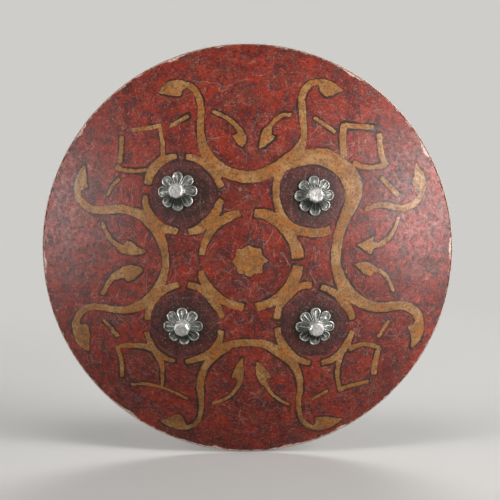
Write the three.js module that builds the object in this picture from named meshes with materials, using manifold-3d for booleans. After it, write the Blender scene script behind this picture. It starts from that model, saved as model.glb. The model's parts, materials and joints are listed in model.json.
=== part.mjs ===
// Dhal: a round, domed hide shield with four flower bosses, held at the back by two grips.
// Millimetres, +Z up. The front faces -Y and the hollow back faces +Y.
// The origin is the middle of the hand's hold: midway between the grips, on the dome's axis.

import * as THREE from 'three';
import { mergeVertices } from 'three/addons/utils/BufferGeometryUtils.js';
import Module from 'manifold-3d';

// Fits
const seatGap = 0.3; // between pieces that touch
const fitGap = 0.15; // round a shank in its hole, on the radius
const cutOverrun = 4; // how far a cutter runs past what it cuts

// Hide
const shieldDiameter = 500;
const domeRise = 72;
const hideThickness = 5;
const rimRound = 2.4; // front corner of the cut edge
const rimWear = 0.8; // how far the rear corner is worn flat

// Where the bosses stand, across and up from the axis, as shares of the shield's radius.
// They were laid out by hand, so no two corners are quite alike.
const bossPlaceShares = {
  upper_left: [-0.328, 0.302],
  upper_right: [0.315, 0.283],
  lower_left: [-0.305, -0.339],
  lower_right: [0.321, -0.34],
};

// Flower boss
const rosetteDiameter = 47.4;
const petalCount = 8;
const petalNotchDepth = 8.2; // from the tips in to the notches
const rosetteEdge = 1.3; // thickness at the tips
const rosetteHubHeight = 4.6;
const rosetteHubDiameter = 15;
const petalHollow = 1.1; // depth of the dish in each petal
const petalRib = 0.6; // height of the rib in the dish
const petalRimWidth = 1.7;
const petalBluntness = 0.6; // power that rounds a petal's tip; 1 is a plain sine
const rosetteFall = 1.5; // power of the plate's fall from hub to tips
const notchDishShare = 0.8; // of the dish's depth, in the valley between two petals
const petalCrestShare = 1 / 3; // of the petal rim's width, from the edge in to its crest
const edgeRoundShare = 1 / 3; // of the edge's thickness, taken off its rear corner
// From hub to petal rim, and how deep the dish is there
const petalDishShares = [
  [0.25, 0.7],
  [0.65, 1],
  [1, 0.8],
];

// Knob over the end of the bolt
const knobDiameter = 19.4;
const knobHeight = 9;
const knobFacets = 8;
const knobNeckDiameter = 13;
const knobNeckHeight = 1.8;
const knobSocketDepth = 5.5;
// Of the half width, and of the height above the neck, from the top down
const knobProfileShares = [
  [0, 0],
  [0.62, 0.05],
  [0.9, 0.34],
  [1, 0.7],
  [0.9, 1],
];

// Ring bolt, its washer and its ring
const shankDiameter = 5;
const washerDiameter = 21;
const washerThickness = 1.6;
const collarDiameter = 11;
const collarThickness = 2;
const eyeWire = 4.4;
const eyeHole = 8.8;
const eyeSink = 1.4; // how deep the eye is forged into the collar
const ringWire = 3.6;
const ringDiameter = 28.4; // outside
const ringTilt = 15; // degrees that a pulled ring leans towards its partner
const ringSeatGap = 0.45; // to the eye, so that the ring can turn

// Grips
const gripDiameter = 20;
const gripNeckDiameter = 10.6;
const gripStraight = 24; // straight part in the middle
const gripsApart = 3;
const fingerRoom = 24; // between the cushion's crown and the grips
const strapWidth = 8;
const strapThickness = 2.2;
const loopBore = 8;
const loopSlack = 0.7; // how far the pull draws the loop past the ring's wire
const loopTaper = 11; // from the ring's wire to where the strap has closed
const loopMouth = 75; // degrees either side of the strap's line where the round loop begins
const whippingLength = 8;
const whippingCord = 1.6;
const whippingTurns = 4;
const gripSwellShare = 0.55; // share of the curve over which the padding swells
const gripBendShare = 0.42; // pull of the curve's handles, of its chord

// Cushion and its base
const padMargin = 8; // between the cushion and the washers
const padCrown = 20;
const padSeamHeight = 7;
const padDrawShare = 0.07; // how far the sides pull in between the corners
const padFullness = 3.2; // power of the crown's fall towards the seam
const padCornerShare = 0.06; // how far the corners are rounded off
const padBaseBorder = 5;
const padBaseThickness = 1.5;

// Facets
const domeSides = 72;
const domeRings = 9;
const rimSteps = 3;
const petalSteps = 6; // round each petal: notch, rim, dish, rib, dish, rim
const roundSides = 16;
const shankSides = 12;
const ringSides = 24;
const loopSides = 8;
const wireSides = 8;
const gripSides = 12;
const gripCurveSteps = 7;
const padCells = 16;
const padBaseCells = 8;

const wasm = await Module();
wasm.setup();

// Position only, shared vertices merged and faces without area dropped
function weld(geometry) {
  const plain = geometry.index ? geometry.toNonIndexed() : geometry.clone();
  plain.deleteAttribute('normal');
  plain.deleteAttribute('uv');
  const merged = mergeVertices(plain);
  const faces = [];
  const index = merged.index.array;
  for (let i = 0; i < index.length; i += 3) {
    const [a, b, c] = [index[i], index[i + 1], index[i + 2]];
    if (a !== b && b !== c && c !== a) faces.push(a, b, c);
  }
  merged.setIndex(faces);
  return merged;
}

function toSolid(geometry) {
  const welded = weld(geometry);
  const mesh = new wasm.Mesh({
    numProp: 3,
    vertProperties: new Float32Array(welded.attributes.position.array),
    triVerts: new Uint32Array(welded.index.array),
  });
  return new wasm.Manifold(mesh);
}

function toGeometry(solid) {
  const { vertProperties, triVerts } = solid.getMesh();
  const geometry = new THREE.BufferGeometry();
  geometry.setAttribute('position', new THREE.BufferAttribute(new Float32Array(vertProperties), 3));
  geometry.setIndex(new THREE.BufferAttribute(new Uint32Array(triVerts), 1));
  return geometry;
}

function joined(...geometries) {
  return toGeometry(geometries.map(toSolid).reduce((whole, solid) => whole.add(solid)));
}

function cut(geometry, ...cutters) {
  const whole = toSolid(geometry);
  return toGeometry(cutters.map(toSolid).reduce((rest, cutter) => rest.subtract(cutter), whole));
}

// Closed body from rings of points, each ring a list of the same length, closed at both ends
function loft(rings) {
  const count = rings[0].length;
  const points = rings.flat();
  const faces = [];
  for (let j = 0; j + 1 < rings.length; j++) {
    for (let i = 0; i < count; i++) {
      const a = j * count + i;
      const b = j * count + ((i + 1) % count);
      faces.push(a, b, b + count, a, b + count, a + count);
    }
  }
  for (const [first, turned] of [[0, true], [(rings.length - 1) * count, false]]) {
    const hub = points.length;
    const middle = new THREE.Vector3();
    for (let i = 0; i < count; i++) middle.addScaledVector(points[first + i], 1 / count);
    points.push(middle);
    for (let i = 0; i < count; i++) {
      const a = first + i;
      const b = first + ((i + 1) % count);
      if (turned) faces.push(hub, b, a);
      else faces.push(hub, a, b);
    }
  }
  const geometry = new THREE.BufferGeometry().setFromPoints(points);
  geometry.setIndex(faces);
  return geometry;
}

// Closed sheet on a square grid: upper and lower give the point above and below (u, v) in -1..1.
// Where they meet along the edge, the faces between them have no area and are dropped.
function sheet(cells, upper, lower) {
  const points = [];
  const grid = (at) => {
    const start = points.length;
    for (let j = 0; j <= cells; j++) {
      for (let i = 0; i <= cells; i++) points.push(at((2 * i) / cells - 1, (2 * j) / cells - 1));
    }
    return start;
  };
  const top = grid(upper);
  const bottom = grid(lower);
  const row = cells + 1;
  const faces = [];
  for (let j = 0; j < cells; j++) {
    for (let i = 0; i < cells; i++) {
      const p = j * row + i;
      const [q, r, s] = [p + 1, p + row + 1, p + row];
      faces.push(top + p, top + r, top + q, top + p, top + s, top + r);
      faces.push(bottom + p, bottom + q, bottom + r, bottom + p, bottom + r, bottom + s);
    }
  }
  const border = [];
  for (let i = 0; i < cells; i++) border.push(i);
  for (let j = 0; j < cells; j++) border.push(j * row + cells);
  for (let i = cells; i > 0; i--) border.push(cells * row + i);
  for (let j = cells; j > 0; j--) border.push(j * row);
  for (let k = 0; k < border.length; k++) {
    const a = border[k];
    const b = border[(k + 1) % border.length];
    faces.push(top + a, top + b, bottom + b, top + a, bottom + b, bottom + a);
  }
  const geometry = new THREE.BufferGeometry().setFromPoints(points);
  geometry.setIndex(faces);
  return weld(geometry);
}

const finishes = {
  paintedHide: { color: 0x8c2f28, roughness: 0.5, metalness: 0 },
  darkPewter: { color: 0x8d8b86, roughness: 0.4, metalness: 0.9 },
  brightSteel: { color: 0xc4c2bb, roughness: 0.3, metalness: 1 },
  iron: { color: 0x5a5652, roughness: 0.55, metalness: 0.9 },
  gripLeather: { color: 0x4a2c1c, roughness: 0.6, metalness: 0 },
  whippingCord: { color: 0x8a734e, roughness: 0.85, metalness: 0 },
  padCloth: { color: 0x6e1f22, roughness: 0.9, metalness: 0 },
  baseLeather: { color: 0x5b3a26, roughness: 0.75, metalness: 0 },
};

function piece(name, geometry, finish) {
  const mesh = new THREE.Mesh(geometry, new THREE.MeshStandardMaterial(finishes[finish]));
  mesh.name = name;
  return mesh;
}

// The dome: part of a sphere whose outer face meets the rim's front corner at rimAngle
const shieldRadius = shieldDiameter / 2;
const plainRimAngle = 2 * Math.atan(domeRise / shieldRadius);
const cornerLoss = rimRound * (Math.cos(plainRimAngle) + Math.sin(plainRimAngle) - 1);
const cornerRadius = shieldRadius + cornerLoss; // sharp corner, before it is rounded
const domeRadius = (cornerRadius ** 2 + domeRise ** 2) / (2 * domeRise);
const innerRadius = domeRadius - hideThickness;
const domeCentreY = domeRadius - domeRise; // with y zero at the sharp corner, until the part is placed
const domeCentre = new THREE.Vector3(0, domeCentreY, 0);
const rimAngle = Math.asin(cornerRadius / domeRadius);
const rimRearY = hideThickness * Math.cos(rimAngle) - rimWear;

function onSphere(radius, x, z) {
  return new THREE.Vector3(x, domeCentreY - Math.sqrt(radius ** 2 - x ** 2 - z ** 2), z);
}

function arc(radius, from, to, steps) {
  const points = [];
  for (let i = 0; i <= steps; i++) {
    const angle = from + ((to - from) * i) / steps;
    points.push(new THREE.Vector2(radius * Math.sin(angle), domeCentreY - radius * Math.cos(angle)));
  }
  return points;
}

function rimCorner() {
  const along = new THREE.Vector2(Math.cos(rimAngle), Math.sin(rimAngle)); // outwards on the outer face
  const inward = new THREE.Vector2(-Math.sin(rimAngle), Math.cos(rimAngle)); // square to it, to the back
  const corner = new THREE.Vector2(cornerRadius, 0);
  const centre = corner.clone().addScaledVector(along, -rimRound).addScaledVector(inward, rimRound);
  const points = [];
  for (let i = 1; i <= rimSteps; i++) {
    const turn = (Math.PI / 2) * (i / rimSteps);
    points.push(
      centre
        .clone()
        .addScaledVector(inward, -rimRound * Math.cos(turn))
        .addScaledVector(along, rimRound * Math.sin(turn)),
    );
  }
  points.push(corner.clone().addScaledVector(inward, rimRearY / Math.cos(rimAngle)));
  return points;
}

function shieldBody(frames) {
  const rearRadius = Math.sqrt(innerRadius ** 2 - (domeCentreY - rimRearY) ** 2);
  const profile = [
    ...arc(domeRadius, 0, rimAngle - rimRound / domeRadius, domeRings),
    ...rimCorner(),
    ...arc(innerRadius, Math.asin(rearRadius / innerRadius), 0, domeRings),
  ];
  profile[0].x = 0;
  profile[profile.length - 1].x = 0;
  const dome = new THREE.LatheGeometry(profile, domeSides);
  const drills = frames.map((frame) => {
    const length = hideThickness + 2 * cutOverrun;
    const drill = new THREE.CylinderGeometry(holeRadius, holeRadius, length, roundSides);
    drill.translate(0, hideThickness / 2, 0);
    return drill.applyMatrix4(frame.matrix);
  });
  return piece('shield_body', cut(dome, ...drills), 'paintedHide');
}

// Heights along a boss's own axis: +Y runs from its seat on the outer face to the back
const domeStep = rimAngle / domeRings;
const facetDepth = innerRadius * (1 - Math.cos(domeStep / 2)); // how far the inner facets stand in
const holeRadius = (shankDiameter / 2 + fitGap) / Math.cos(Math.PI / roundSides);
const washerSeat = hideThickness + seatGap + facetDepth;
const collarSeat = washerSeat + washerThickness + seatGap;
const eyeRadius = (eyeHole + eyeWire) / 2; // to the middle of its wire
const eyeHeight = collarSeat + collarThickness + eyeRadius + eyeWire / 2 - eyeSink;
const hubTop = -(rosetteHubHeight + seatGap);
const knobSeat = hubTop - seatGap;
const shankTop = knobSeat - knobSocketDepth + seatGap;

// Boss rosette: a cast plate of dished petals, each with a raised rim and a rib down its middle
function rosette(name) {
  const tip = rosetteDiameter / 2;
  const notch = tip - petalNotchDepth;
  const hub = rosetteHubDiameter / 2;
  const around = petalCount * petalSteps;
  const dome = (r) => domeRadius - Math.sqrt(domeRadius ** 2 - r ** 2) - seatGap;
  const edgeAt = (i) => {
    const share = (i % petalSteps) / petalSteps;
    return notch + petalNotchDepth * Math.sin(Math.PI * share) ** petalBluntness;
  };
  // Height of the plain plate, falling from the hub to the tips
  const plate = (r) => {
    const share = THREE.MathUtils.clamp((r - hub) / (tip - hub), 0, 1);
    return rosetteEdge + (rosetteHubHeight - rosetteEdge) * (1 - share) ** rosetteFall;
  };
  const ribDish = petalHollow - petalRib;
  const dishes = [petalHollow * notchDishShare, 0, petalHollow, ribDish, petalHollow, 0];
  const dish = (i) => dishes[i % petalSteps];
  const point = (i, r, y) => {
    const turn = (2 * Math.PI * (i + petalSteps / 2)) / around; // a tip, not a notch, at zero
    return new THREE.Vector3(r * Math.cos(turn), y, r * Math.sin(turn));
  };
  const ring = (at) => Array.from({ length: around }, (_, i) => at(i));
  const crest = (r) => dome(r) - plate(r) - petalRib / 2;
  const petalRing = (share, depthShare) =>
    ring((i) => {
      const outer = edgeAt(i) - petalRimWidth;
      const r = hub + (outer - hub) * share;
      return point(i, r, dome(r) - plate(r) + depthShare * dish(i));
    });
  const rings = [
    ring((i) => point(i, holeRadius, dome(holeRadius))),
    ring((i) => point(i, holeRadius, -seatGap - rosetteHubHeight)),
    ring((i) => point(i, hub, dome(hub) - rosetteHubHeight)),
    ...petalDishShares.map(([share, depthShare]) => petalRing(share, depthShare)),
    ring((i) => point(i, edgeAt(i) - petalRimWidth * petalCrestShare, crest(edgeAt(i)))),
    ring((i) => point(i, edgeAt(i), dome(edgeAt(i)) - rosetteEdge / 2)),
    ring((i) => point(i, edgeAt(i) - rosetteEdge * edgeRoundShare, dome(edgeAt(i)))),
  ];
  rings.push(rings[0]);
  return piece(name, ringBand(rings), 'darkPewter');
}

// Faces between neighbouring rings of points, with the last ring equal to the first
function ringBand(rings) {
  const count = rings[0].length;
  const faces = [];
  for (let j = 0; j + 1 < rings.length; j++) {
    const [near, far] = [rings[j], rings[j + 1]];
    for (let i = 0; i < count; i++) {
      const next = (i + 1) % count;
      faces.push(near[i], far[next], near[next], near[i], far[i], far[next]);
    }
  }
  return weld(new THREE.BufferGeometry().setFromPoints(faces));
}

// Faceted knob, a cap whose socket takes the end of the shank
function knob(name) {
  const socket = (shankDiameter / 2 + fitGap) / Math.cos(Math.PI / knobFacets);
  const wide = knobDiameter / 2;
  const top = knobSeat - knobHeight;
  const bodyHeight = knobHeight - knobNeckHeight;
  const profile = [
    ...knobProfileShares.map(([across, down]) => [wide * across, top + bodyHeight * down]),
    [knobNeckDiameter / 2, knobSeat],
    [socket, knobSeat],
    [socket, knobSeat - knobSocketDepth],
    [0, knobSeat - knobSocketDepth],
  ].map(([r, y]) => new THREE.Vector2(r, y));
  return piece(name, weld(new THREE.LatheGeometry(profile, knobFacets)), 'brightSteel');
}

function washer(name) {
  const hole = holeRadius;
  const rim = washerDiameter / 2;
  const lift = washerThickness / 2;
  const profile = [
    [hole, washerSeat],
    [rim, washerSeat],
    [rim, washerSeat + lift],
    [rim - lift, washerSeat + washerThickness],
    [hole, washerSeat + washerThickness],
    [hole, washerSeat],
  ].map(([r, y]) => new THREE.Vector2(r, y));
  return piece(name, weld(new THREE.LatheGeometry(profile, roundSides)), 'iron');
}

// Ring bolt: a shank from the knob's socket through rosette, hide and washer, forged into an eye
function ringBolt(name) {
  const shankRadius = shankDiameter / 2;
  const shankEnd = collarSeat + collarThickness / 2;
  const shank = new THREE.CylinderGeometry(shankRadius, shankRadius, shankEnd - shankTop, shankSides);
  shank.translate(0, (shankEnd + shankTop) / 2, 0);
  const collarRadius = collarDiameter / 2;
  const collar = new THREE.CylinderGeometry(collarRadius, collarRadius, collarThickness, roundSides);
  collar.translate(0, collarSeat + collarThickness / 2, 0);
  const eye = new THREE.TorusGeometry(eyeRadius, eyeWire / 2, wireSides, roundSides);
  eye.translate(0, eyeHeight, 0);
  return piece(name, joined(shank, collar, eye), 'iron');
}

// Where each boss stands: its seat on the outer face, the way to the back, and its eye
function bossFrame(corner) {
  const [across, up] = bossPlaceShares[corner];
  const seat = onSphere(domeRadius, across * shieldRadius, up * shieldRadius);
  const inward = domeCentre.clone().sub(seat).normalize();
  return { corner, seat, inward, eye: seat.clone().addScaledVector(inward, eyeHeight) };
}

const cornerNames = Object.keys(bossPlaceShares);
const corners = Object.fromEntries(cornerNames.map((corner) => [corner, bossFrame(corner)]));

// Cushion: its half side ends short of the washers that stand round it
const allCorners = Object.values(corners);
const padCentreZ = allCorners.reduce((sum, { seat }) => sum + seat.z / allCorners.length, 0);
const nearestBoss = Math.min(
  ...allCorners.flatMap(({ seat }) => [Math.abs(seat.x), Math.abs(seat.z - padCentreZ)]),
);
const padHalf = nearestBoss - washerDiameter / 2 - padMargin;
const baseFloor = innerRadius - facetDepth - seatGap; // radius of the base's underside
const padFloor = baseFloor - padBaseThickness - seatGap - facetDepth;
const padTopY = domeCentreY - (padFloor - padCrown);

function padPoint(floorRadius, halfSide, u, v, height) {
  const corner = 1 - padCornerShare * (u * v) ** 2;
  const x = halfSide * u * (1 - padDrawShare * u ** 2 * (1 - v ** 2)) * corner;
  const z = padCentreZ + halfSide * v * (1 - padDrawShare * v ** 2 * (1 - u ** 2)) * corner;
  const floor = onSphere(floorRadius, x, z);
  return floor.addScaledVector(domeCentre.clone().sub(floor).normalize(), height);
}

function knucklePad() {
  const swell = (u, v) => Math.sqrt((1 - Math.abs(u) ** padFullness) * (1 - Math.abs(v) ** padFullness));
  const crown = (u, v) => padSeamHeight + (padCrown - padSeamHeight) * swell(u, v);
  const belly = (u, v) => padSeamHeight * (1 - swell(u, v));
  return piece(
    'knuckle_pad',
    sheet(
      padCells,
      (u, v) => padPoint(padFloor, padHalf, u, v, crown(u, v)),
      (u, v) => padPoint(padFloor, padHalf, u, v, belly(u, v)),
    ),
    'padCloth',
  );
}

function padBase() {
  const half = padHalf + padBaseBorder;
  const level = (height) => (u, v) => {
    const floor = onSphere(baseFloor, half * u, padCentreZ + half * v);
    return floor.addScaledVector(domeCentre.clone().sub(floor).normalize(), height);
  };
  return piece('pad_base', sheet(padBaseCells, level(padBaseThickness), level(0)), 'baseLeather');
}

// One side's hinge line through both eyes, and the way from it out to the middle of the grip
const gripMiddleY = padTopY + fingerRoom + gripDiameter / 2;
const tilt = THREE.MathUtils.degToRad(ringTilt);
const ringRadius = (ringDiameter - ringWire) / 2; // to the middle of its wire
const ringRoom = ringRadius - (ringWire + eyeWire) / 2 - ringSeatGap;
const ringStand = eyeRadius * Math.cos(tilt) + Math.sqrt(ringRoom ** 2 - (eyeRadius * Math.sin(tilt)) ** 2);
const ringReach = ringStand + ringRadius; // from the eye to the far side of the ring's wire

function sideFrame(side) {
  const upper = corners[`upper_${side}`];
  const lower = corners[`lower_${side}`];
  const hinge = upper.eye.clone().sub(lower.eye).normalize();
  const middle = upper.eye.clone().add(lower.eye).multiplyScalar(1 / 2);
  const hold = Math.sign(middle.x) * ((gripDiameter + gripsApart) / 2);
  const out = new THREE.Vector3(hold - middle.x, gripMiddleY - middle.y, 0);
  out.z = -(out.x * hinge.x + out.y * hinge.y) / hinge.z;
  const reach = out.length();
  out.normalize();
  const far = (level, eye) => eye.clone().addScaledVector(leaning(out, hinge, level), ringReach);
  const farUpper = far(1, upper.eye);
  const farLower = far(-1, lower.eye);
  return {
    side,
    hinge,
    out,
    pivot: farUpper.clone().add(farLower).multiplyScalar(1 / 2),
    halfHeight: farUpper.distanceTo(farLower) / 2,
    bow: reach - ringReach * Math.cos(tilt),
  };
}

// The way a ring is pulled: out to the grip, leaning towards the other ring of its side
function leaning(out, hinge, level) {
  return out.clone().multiplyScalar(Math.cos(tilt)).addScaledVector(hinge, -level * Math.sin(tilt));
}

function placed(origin, xAxis, yAxis, zAxis, ...meshes) {
  const group = new THREE.Group();
  const basis = new THREE.Matrix4().makeBasis(xAxis, yAxis, zAxis);
  group.position.copy(origin);
  group.quaternion.setFromRotationMatrix(basis);
  if (meshes.length > 0) group.add(...meshes);
  group.updateMatrix();
  return group;
}

// A boss's group: +Y along its shank, +Z along the hole of its eye
function bossGroup(frame, hinge) {
  const zAxis = hinge.clone().addScaledVector(frame.inward, -hinge.dot(frame.inward)).normalize();
  const xAxis = frame.inward.clone().cross(zAxis);
  return placed(frame.seat, xAxis, frame.inward, zAxis);
}

// A ring hangs in its eye, in the plane of the hinge line and the pull
function ring(name, frame, level, { out, hinge }) {
  const geometry = weld(new THREE.TorusGeometry(ringRadius, ringWire / 2, wireSides, ringSides));
  geometry.translate(ringStand, 0, 0);
  const xAxis = leaning(out, hinge, level);
  const zAxis = out.clone().cross(hinge);
  return placed(frame.eye, xAxis, zAxis.clone().cross(xAxis), zAxis, piece(name, geometry, 'iron'));
}

// Grip: strap loops at both ends, straight necks, and a padded body that bows out between them
const neckLength = loopTaper + whippingLength + 2 * seatGap;

function neckLine(halfHeight, level) {
  const along = new THREE.Vector3(Math.cos(tilt), 0, -level * Math.sin(tilt));
  const loop = new THREE.Vector3(0, 0, level * halfHeight).addScaledVector(along, loopSlack);
  return { along, loop, at: (distance) => loop.clone().addScaledVector(along, distance) };
}

function strapLoop({ along, loop }) {
  const outer = loopBore / 2 + strapThickness;
  const neck = gripNeckDiameter / 2;
  const mouth = THREE.MathUtils.degToRad(loopMouth);
  const shape = new THREE.Shape();
  shape.moveTo(loopTaper, neck);
  shape.absarc(0, 0, outer, mouth, 2 * Math.PI - mouth, false);
  shape.lineTo(loopTaper, -neck);
  shape.closePath();
  const bore = new THREE.Path();
  bore.absarc(0, 0, loopBore / 2, 0, 2 * Math.PI, false);
  shape.holes.push(bore);
  const extrusion = { depth: strapWidth, bevelEnabled: false, curveSegments: loopSides };
  const geometry = new THREE.ExtrudeGeometry(shape, extrusion);
  geometry.translate(0, 0, -strapWidth / 2);
  const side = new THREE.Vector3(0, 1, 0);
  const basis = new THREE.Matrix4().makeBasis(along, side, along.clone().cross(side));
  return geometry.applyMatrix4(basis.setPosition(loop));
}

function gripBody({ halfHeight, bow }) {
  const neck = gripNeckDiameter / 2;
  const full = gripDiameter / 2;
  const stations = [];
  for (const level of [-1, 1]) {
    const { along, at } = neckLine(halfHeight, level);
    const start = at(neckLength);
    const end = new THREE.Vector3(bow, 0, level * (gripStraight / 2));
    const pull = start.distanceTo(end) * gripBendShare;
    const curve = new THREE.CubicBezierCurve3(
      start,
      start.clone().addScaledVector(along, pull),
      new THREE.Vector3(bow, 0, end.z + level * pull),
      end,
    );
    const half = [{ at: at(loopTaper - seatGap), along: along.clone(), radius: neck }];
    for (let i = 0; i <= gripCurveSteps; i++) {
      const share = i / gripCurveSteps;
      const swell = THREE.MathUtils.smoothstep(share, 0, gripSwellShare);
      const radius = neck + (full - neck) * swell;
      half.push({ at: curve.getPoint(share), along: curve.getTangent(share), radius });
    }
    if (level > 0) half.reverse();
    half.forEach((station) => stations.push({ ...station, along: station.along.multiplyScalar(-level) }));
  }
  const side = new THREE.Vector3(0, 1, 0);
  const rings = stations.map(({ at, along, radius }) => {
    const across = side.clone().cross(along);
    return Array.from({ length: gripSides }, (_, i) => {
      const turn = (2 * Math.PI * i) / gripSides;
      return at
        .clone()
        .addScaledVector(across, radius * Math.cos(turn))
        .addScaledVector(side, radius * Math.sin(turn));
    });
  });
  return loft(rings);
}

// Cord whipping that closes the strap behind its loop: turns lying side by side round the neck
function whipping(name, { along, at }) {
  const inner = (gripNeckDiameter / 2 + seatGap) / Math.cos(Math.PI / gripSides);
  const start = loopTaper + seatGap;
  const pitch = whippingLength / whippingTurns;
  const profile = [[inner, start]];
  for (let turn = 0; turn < whippingTurns; turn++) {
    profile.push([inner + whippingCord / 2, start + turn * pitch]);
    profile.push([inner + whippingCord, start + (turn + 1 / 2) * pitch]);
  }
  profile.push([inner + whippingCord / 2, start + whippingLength]);
  profile.push([inner, start + whippingLength], [inner, start]);
  const outline = profile.map(([r, y]) => new THREE.Vector2(r, y));
  const geometry = weld(new THREE.LatheGeometry(outline, gripSides));
  const side = new THREE.Vector3(0, 1, 0);
  const basis = new THREE.Matrix4().makeBasis(side.clone().cross(along).negate(), along, side);
  geometry.applyMatrix4(basis.setPosition(at(0)));
  return piece(name, geometry, 'whippingCord');
}

function grip(frame) {
  const { side, out, hinge, pivot, halfHeight } = frame;
  const upper = neckLine(halfHeight, 1);
  const lower = neckLine(halfHeight, -1);
  const body = joined(gripBody(frame), strapLoop(upper), strapLoop(lower));
  return placed(
    pivot,
    out,
    hinge.clone().cross(out),
    hinge,
    piece(`${side}_grip`, body, 'gripLeather'),
    whipping(`${side}_grip_upper_whipping`, upper),
    whipping(`${side}_grip_lower_whipping`, lower),
  );
}

// Assembly
const shield = new THREE.Group();
const sides = { left: sideFrame('left'), right: sideFrame('right') };
const bossGroups = allCorners.map((frame) => {
  const [level, side] = frame.corner.split('_');
  const group = bossGroup(frame, sides[side].hinge);
  group.add(
    rosette(`${frame.corner}_boss`),
    knob(`${frame.corner}_knob`),
    washer(`${frame.corner}_washer`),
    ringBolt(`${frame.corner}_ring_bolt`),
  );
  shield.add(ring(`${frame.corner}_ring`, frame, level === 'upper' ? 1 : -1, sides[side]));
  return group;
});
shield.add(
  shieldBody(bossGroups),
  ...bossGroups,
  padBase(),
  knucklePad(),
  grip(sides.left),
  grip(sides.right),
);
shield.position.y = -gripMiddleY;

export default shield;
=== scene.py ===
import json
import math
import bpy
import numpy as np
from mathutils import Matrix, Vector


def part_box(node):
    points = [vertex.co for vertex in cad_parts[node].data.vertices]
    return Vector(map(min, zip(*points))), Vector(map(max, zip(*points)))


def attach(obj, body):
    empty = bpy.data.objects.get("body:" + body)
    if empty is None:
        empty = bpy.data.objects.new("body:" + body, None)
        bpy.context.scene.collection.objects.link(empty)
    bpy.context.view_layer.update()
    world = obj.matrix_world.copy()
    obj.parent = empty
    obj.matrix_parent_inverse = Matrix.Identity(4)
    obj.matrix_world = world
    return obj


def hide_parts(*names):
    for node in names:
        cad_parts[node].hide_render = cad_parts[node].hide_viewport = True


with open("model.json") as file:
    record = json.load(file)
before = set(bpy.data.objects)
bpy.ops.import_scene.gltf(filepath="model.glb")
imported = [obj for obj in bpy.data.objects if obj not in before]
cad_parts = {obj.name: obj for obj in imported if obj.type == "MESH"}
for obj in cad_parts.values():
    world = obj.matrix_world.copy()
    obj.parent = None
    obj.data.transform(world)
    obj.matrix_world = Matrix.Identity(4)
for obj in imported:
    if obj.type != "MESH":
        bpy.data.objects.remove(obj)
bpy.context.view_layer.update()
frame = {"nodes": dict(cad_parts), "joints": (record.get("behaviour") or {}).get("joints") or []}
nodes = frame["nodes"]
joints = {joint["name"]: joint for joint in frame["joints"]}
scene = bpy.context.scene
mm = 0.001

# The view: the picture's size in pixels, where the middle of the rim falls in it, and how it is seen
view = {
    "elevation": 6.0,
    "distance": 2.0,
    "pictureSize": 500,
    "focalPixels": 1640.8,
    "rimMiddle": (247.4, 250.0),
    "sensor": 36.0,
}

shield = {
    "rise": 72 * mm,
    "thickness": 5 * mm,
    "cornerRound": 2.4 * mm,
    "rearWear": 0.8 * mm,
    "faceCells": 280,
    "backCells": 70,
    "cornerSteps": 4,
    "paintHeight": 0.22 * mm,
    "paintSlope": 0.6 * mm,
    "waviness": 0.35 * mm,
    "calmRim": 20 * mm,  # the waves die out over this
    "grain": 0.05 * mm,
    "dipInset": 1.5 * mm,  # a shallow dip runs round just inside each maroon field
    "dipDepth": 0.15 * mm,
    "dipWidth": 4 * mm,
    "softCorner": 0.6 * mm,
    "edgeWobble": 0.45 * mm,
    "raggedness": 0.25 * mm,
    "chipDepth": 1.1 * mm,
    "leastStep": 0.30 * mm,
    "dents": 0.25 * mm,
}

# The dome's own measures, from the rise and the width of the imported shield
low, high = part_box("shield_body")
shieldRadius = (high.x - low.x) / 2
plainRimAngle = 2 * math.atan(shield["rise"] / shieldRadius)
cornerRadius = shieldRadius + shield["cornerRound"] * (math.cos(plainRimAngle) + math.sin(plainRimAngle) - 1)
domeRadius = (cornerRadius**2 + shield["rise"] ** 2) / (2 * shield["rise"])
innerRadius = domeRadius - shield["thickness"]
domeCentre = np.array([0.0, low.y + domeRadius, 0.0])
rimAngle = math.asin(cornerRadius / domeRadius)
rimY = low.y + shield["rise"]
rearY = rimY + shield["thickness"] * math.cos(rimAngle) - shield["rearWear"]
print("frame read: shield", round(2 * shieldRadius, 4), "m across, dome radius", round(domeRadius, 4))


def makeCamera():
    tilt = math.radians(view["elevation"])
    camera = bpy.data.objects.new("camera", bpy.data.cameras.new("camera"))
    camera.data.sensor_width = view["sensor"]
    camera.data.lens = view["focalPixels"] / view["pictureSize"] * view["sensor"]
    camera.data.shift_x = (view["pictureSize"] / 2 - view["rimMiddle"][0]) / view["pictureSize"]
    camera.data.shift_y = (view["rimMiddle"][1] - view["pictureSize"] / 2) / view["pictureSize"]
    back = Vector((0, -math.cos(tilt), math.sin(tilt))) * view["distance"]
    camera.location = Vector((0, rimY, 0)) + back
    camera.rotation_euler = (math.pi / 2 - tilt, 0, 0)
    scene.collection.objects.link(camera)
    scene.camera = camera
    return camera


camera = makeCamera()


def ontoDome(pixels):
    # Where the lines of sight through these pixels first meet the dome's outer face, as x and z.
    # A line is the camera's place plus t times its direction; t is the smaller root of the sphere's equation.
    tilt = math.radians(view["elevation"])
    forward = np.array([0, math.cos(tilt), -math.sin(tilt)])
    up = np.array([0, math.sin(tilt), math.cos(tilt)])
    px, py = np.asarray(pixels, float).T
    ways = view["focalPixels"] * forward + (px - view["rimMiddle"][0])[:, None] * np.array([1.0, 0, 0])
    ways = ways + (view["rimMiddle"][1] - py)[:, None] * up
    ways = unit(ways)
    start = np.array(camera.location) - domeCentre
    half = ways @ start
    root = np.sqrt(np.maximum(half**2 - start @ start + domeRadius**2, 0))
    hits = start + (-half - root)[:, None] * ways + domeCentre
    return hits[:, [0, 2]]


pixel = view["distance"] / view["focalPixels"]  # metres to a pixel of the picture, at the rim


# Meshes from grids of points
def allSmooth(mesh):
    mesh.polygons.foreach_set("use_smooth", np.ones(len(mesh.polygons), bool))


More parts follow.
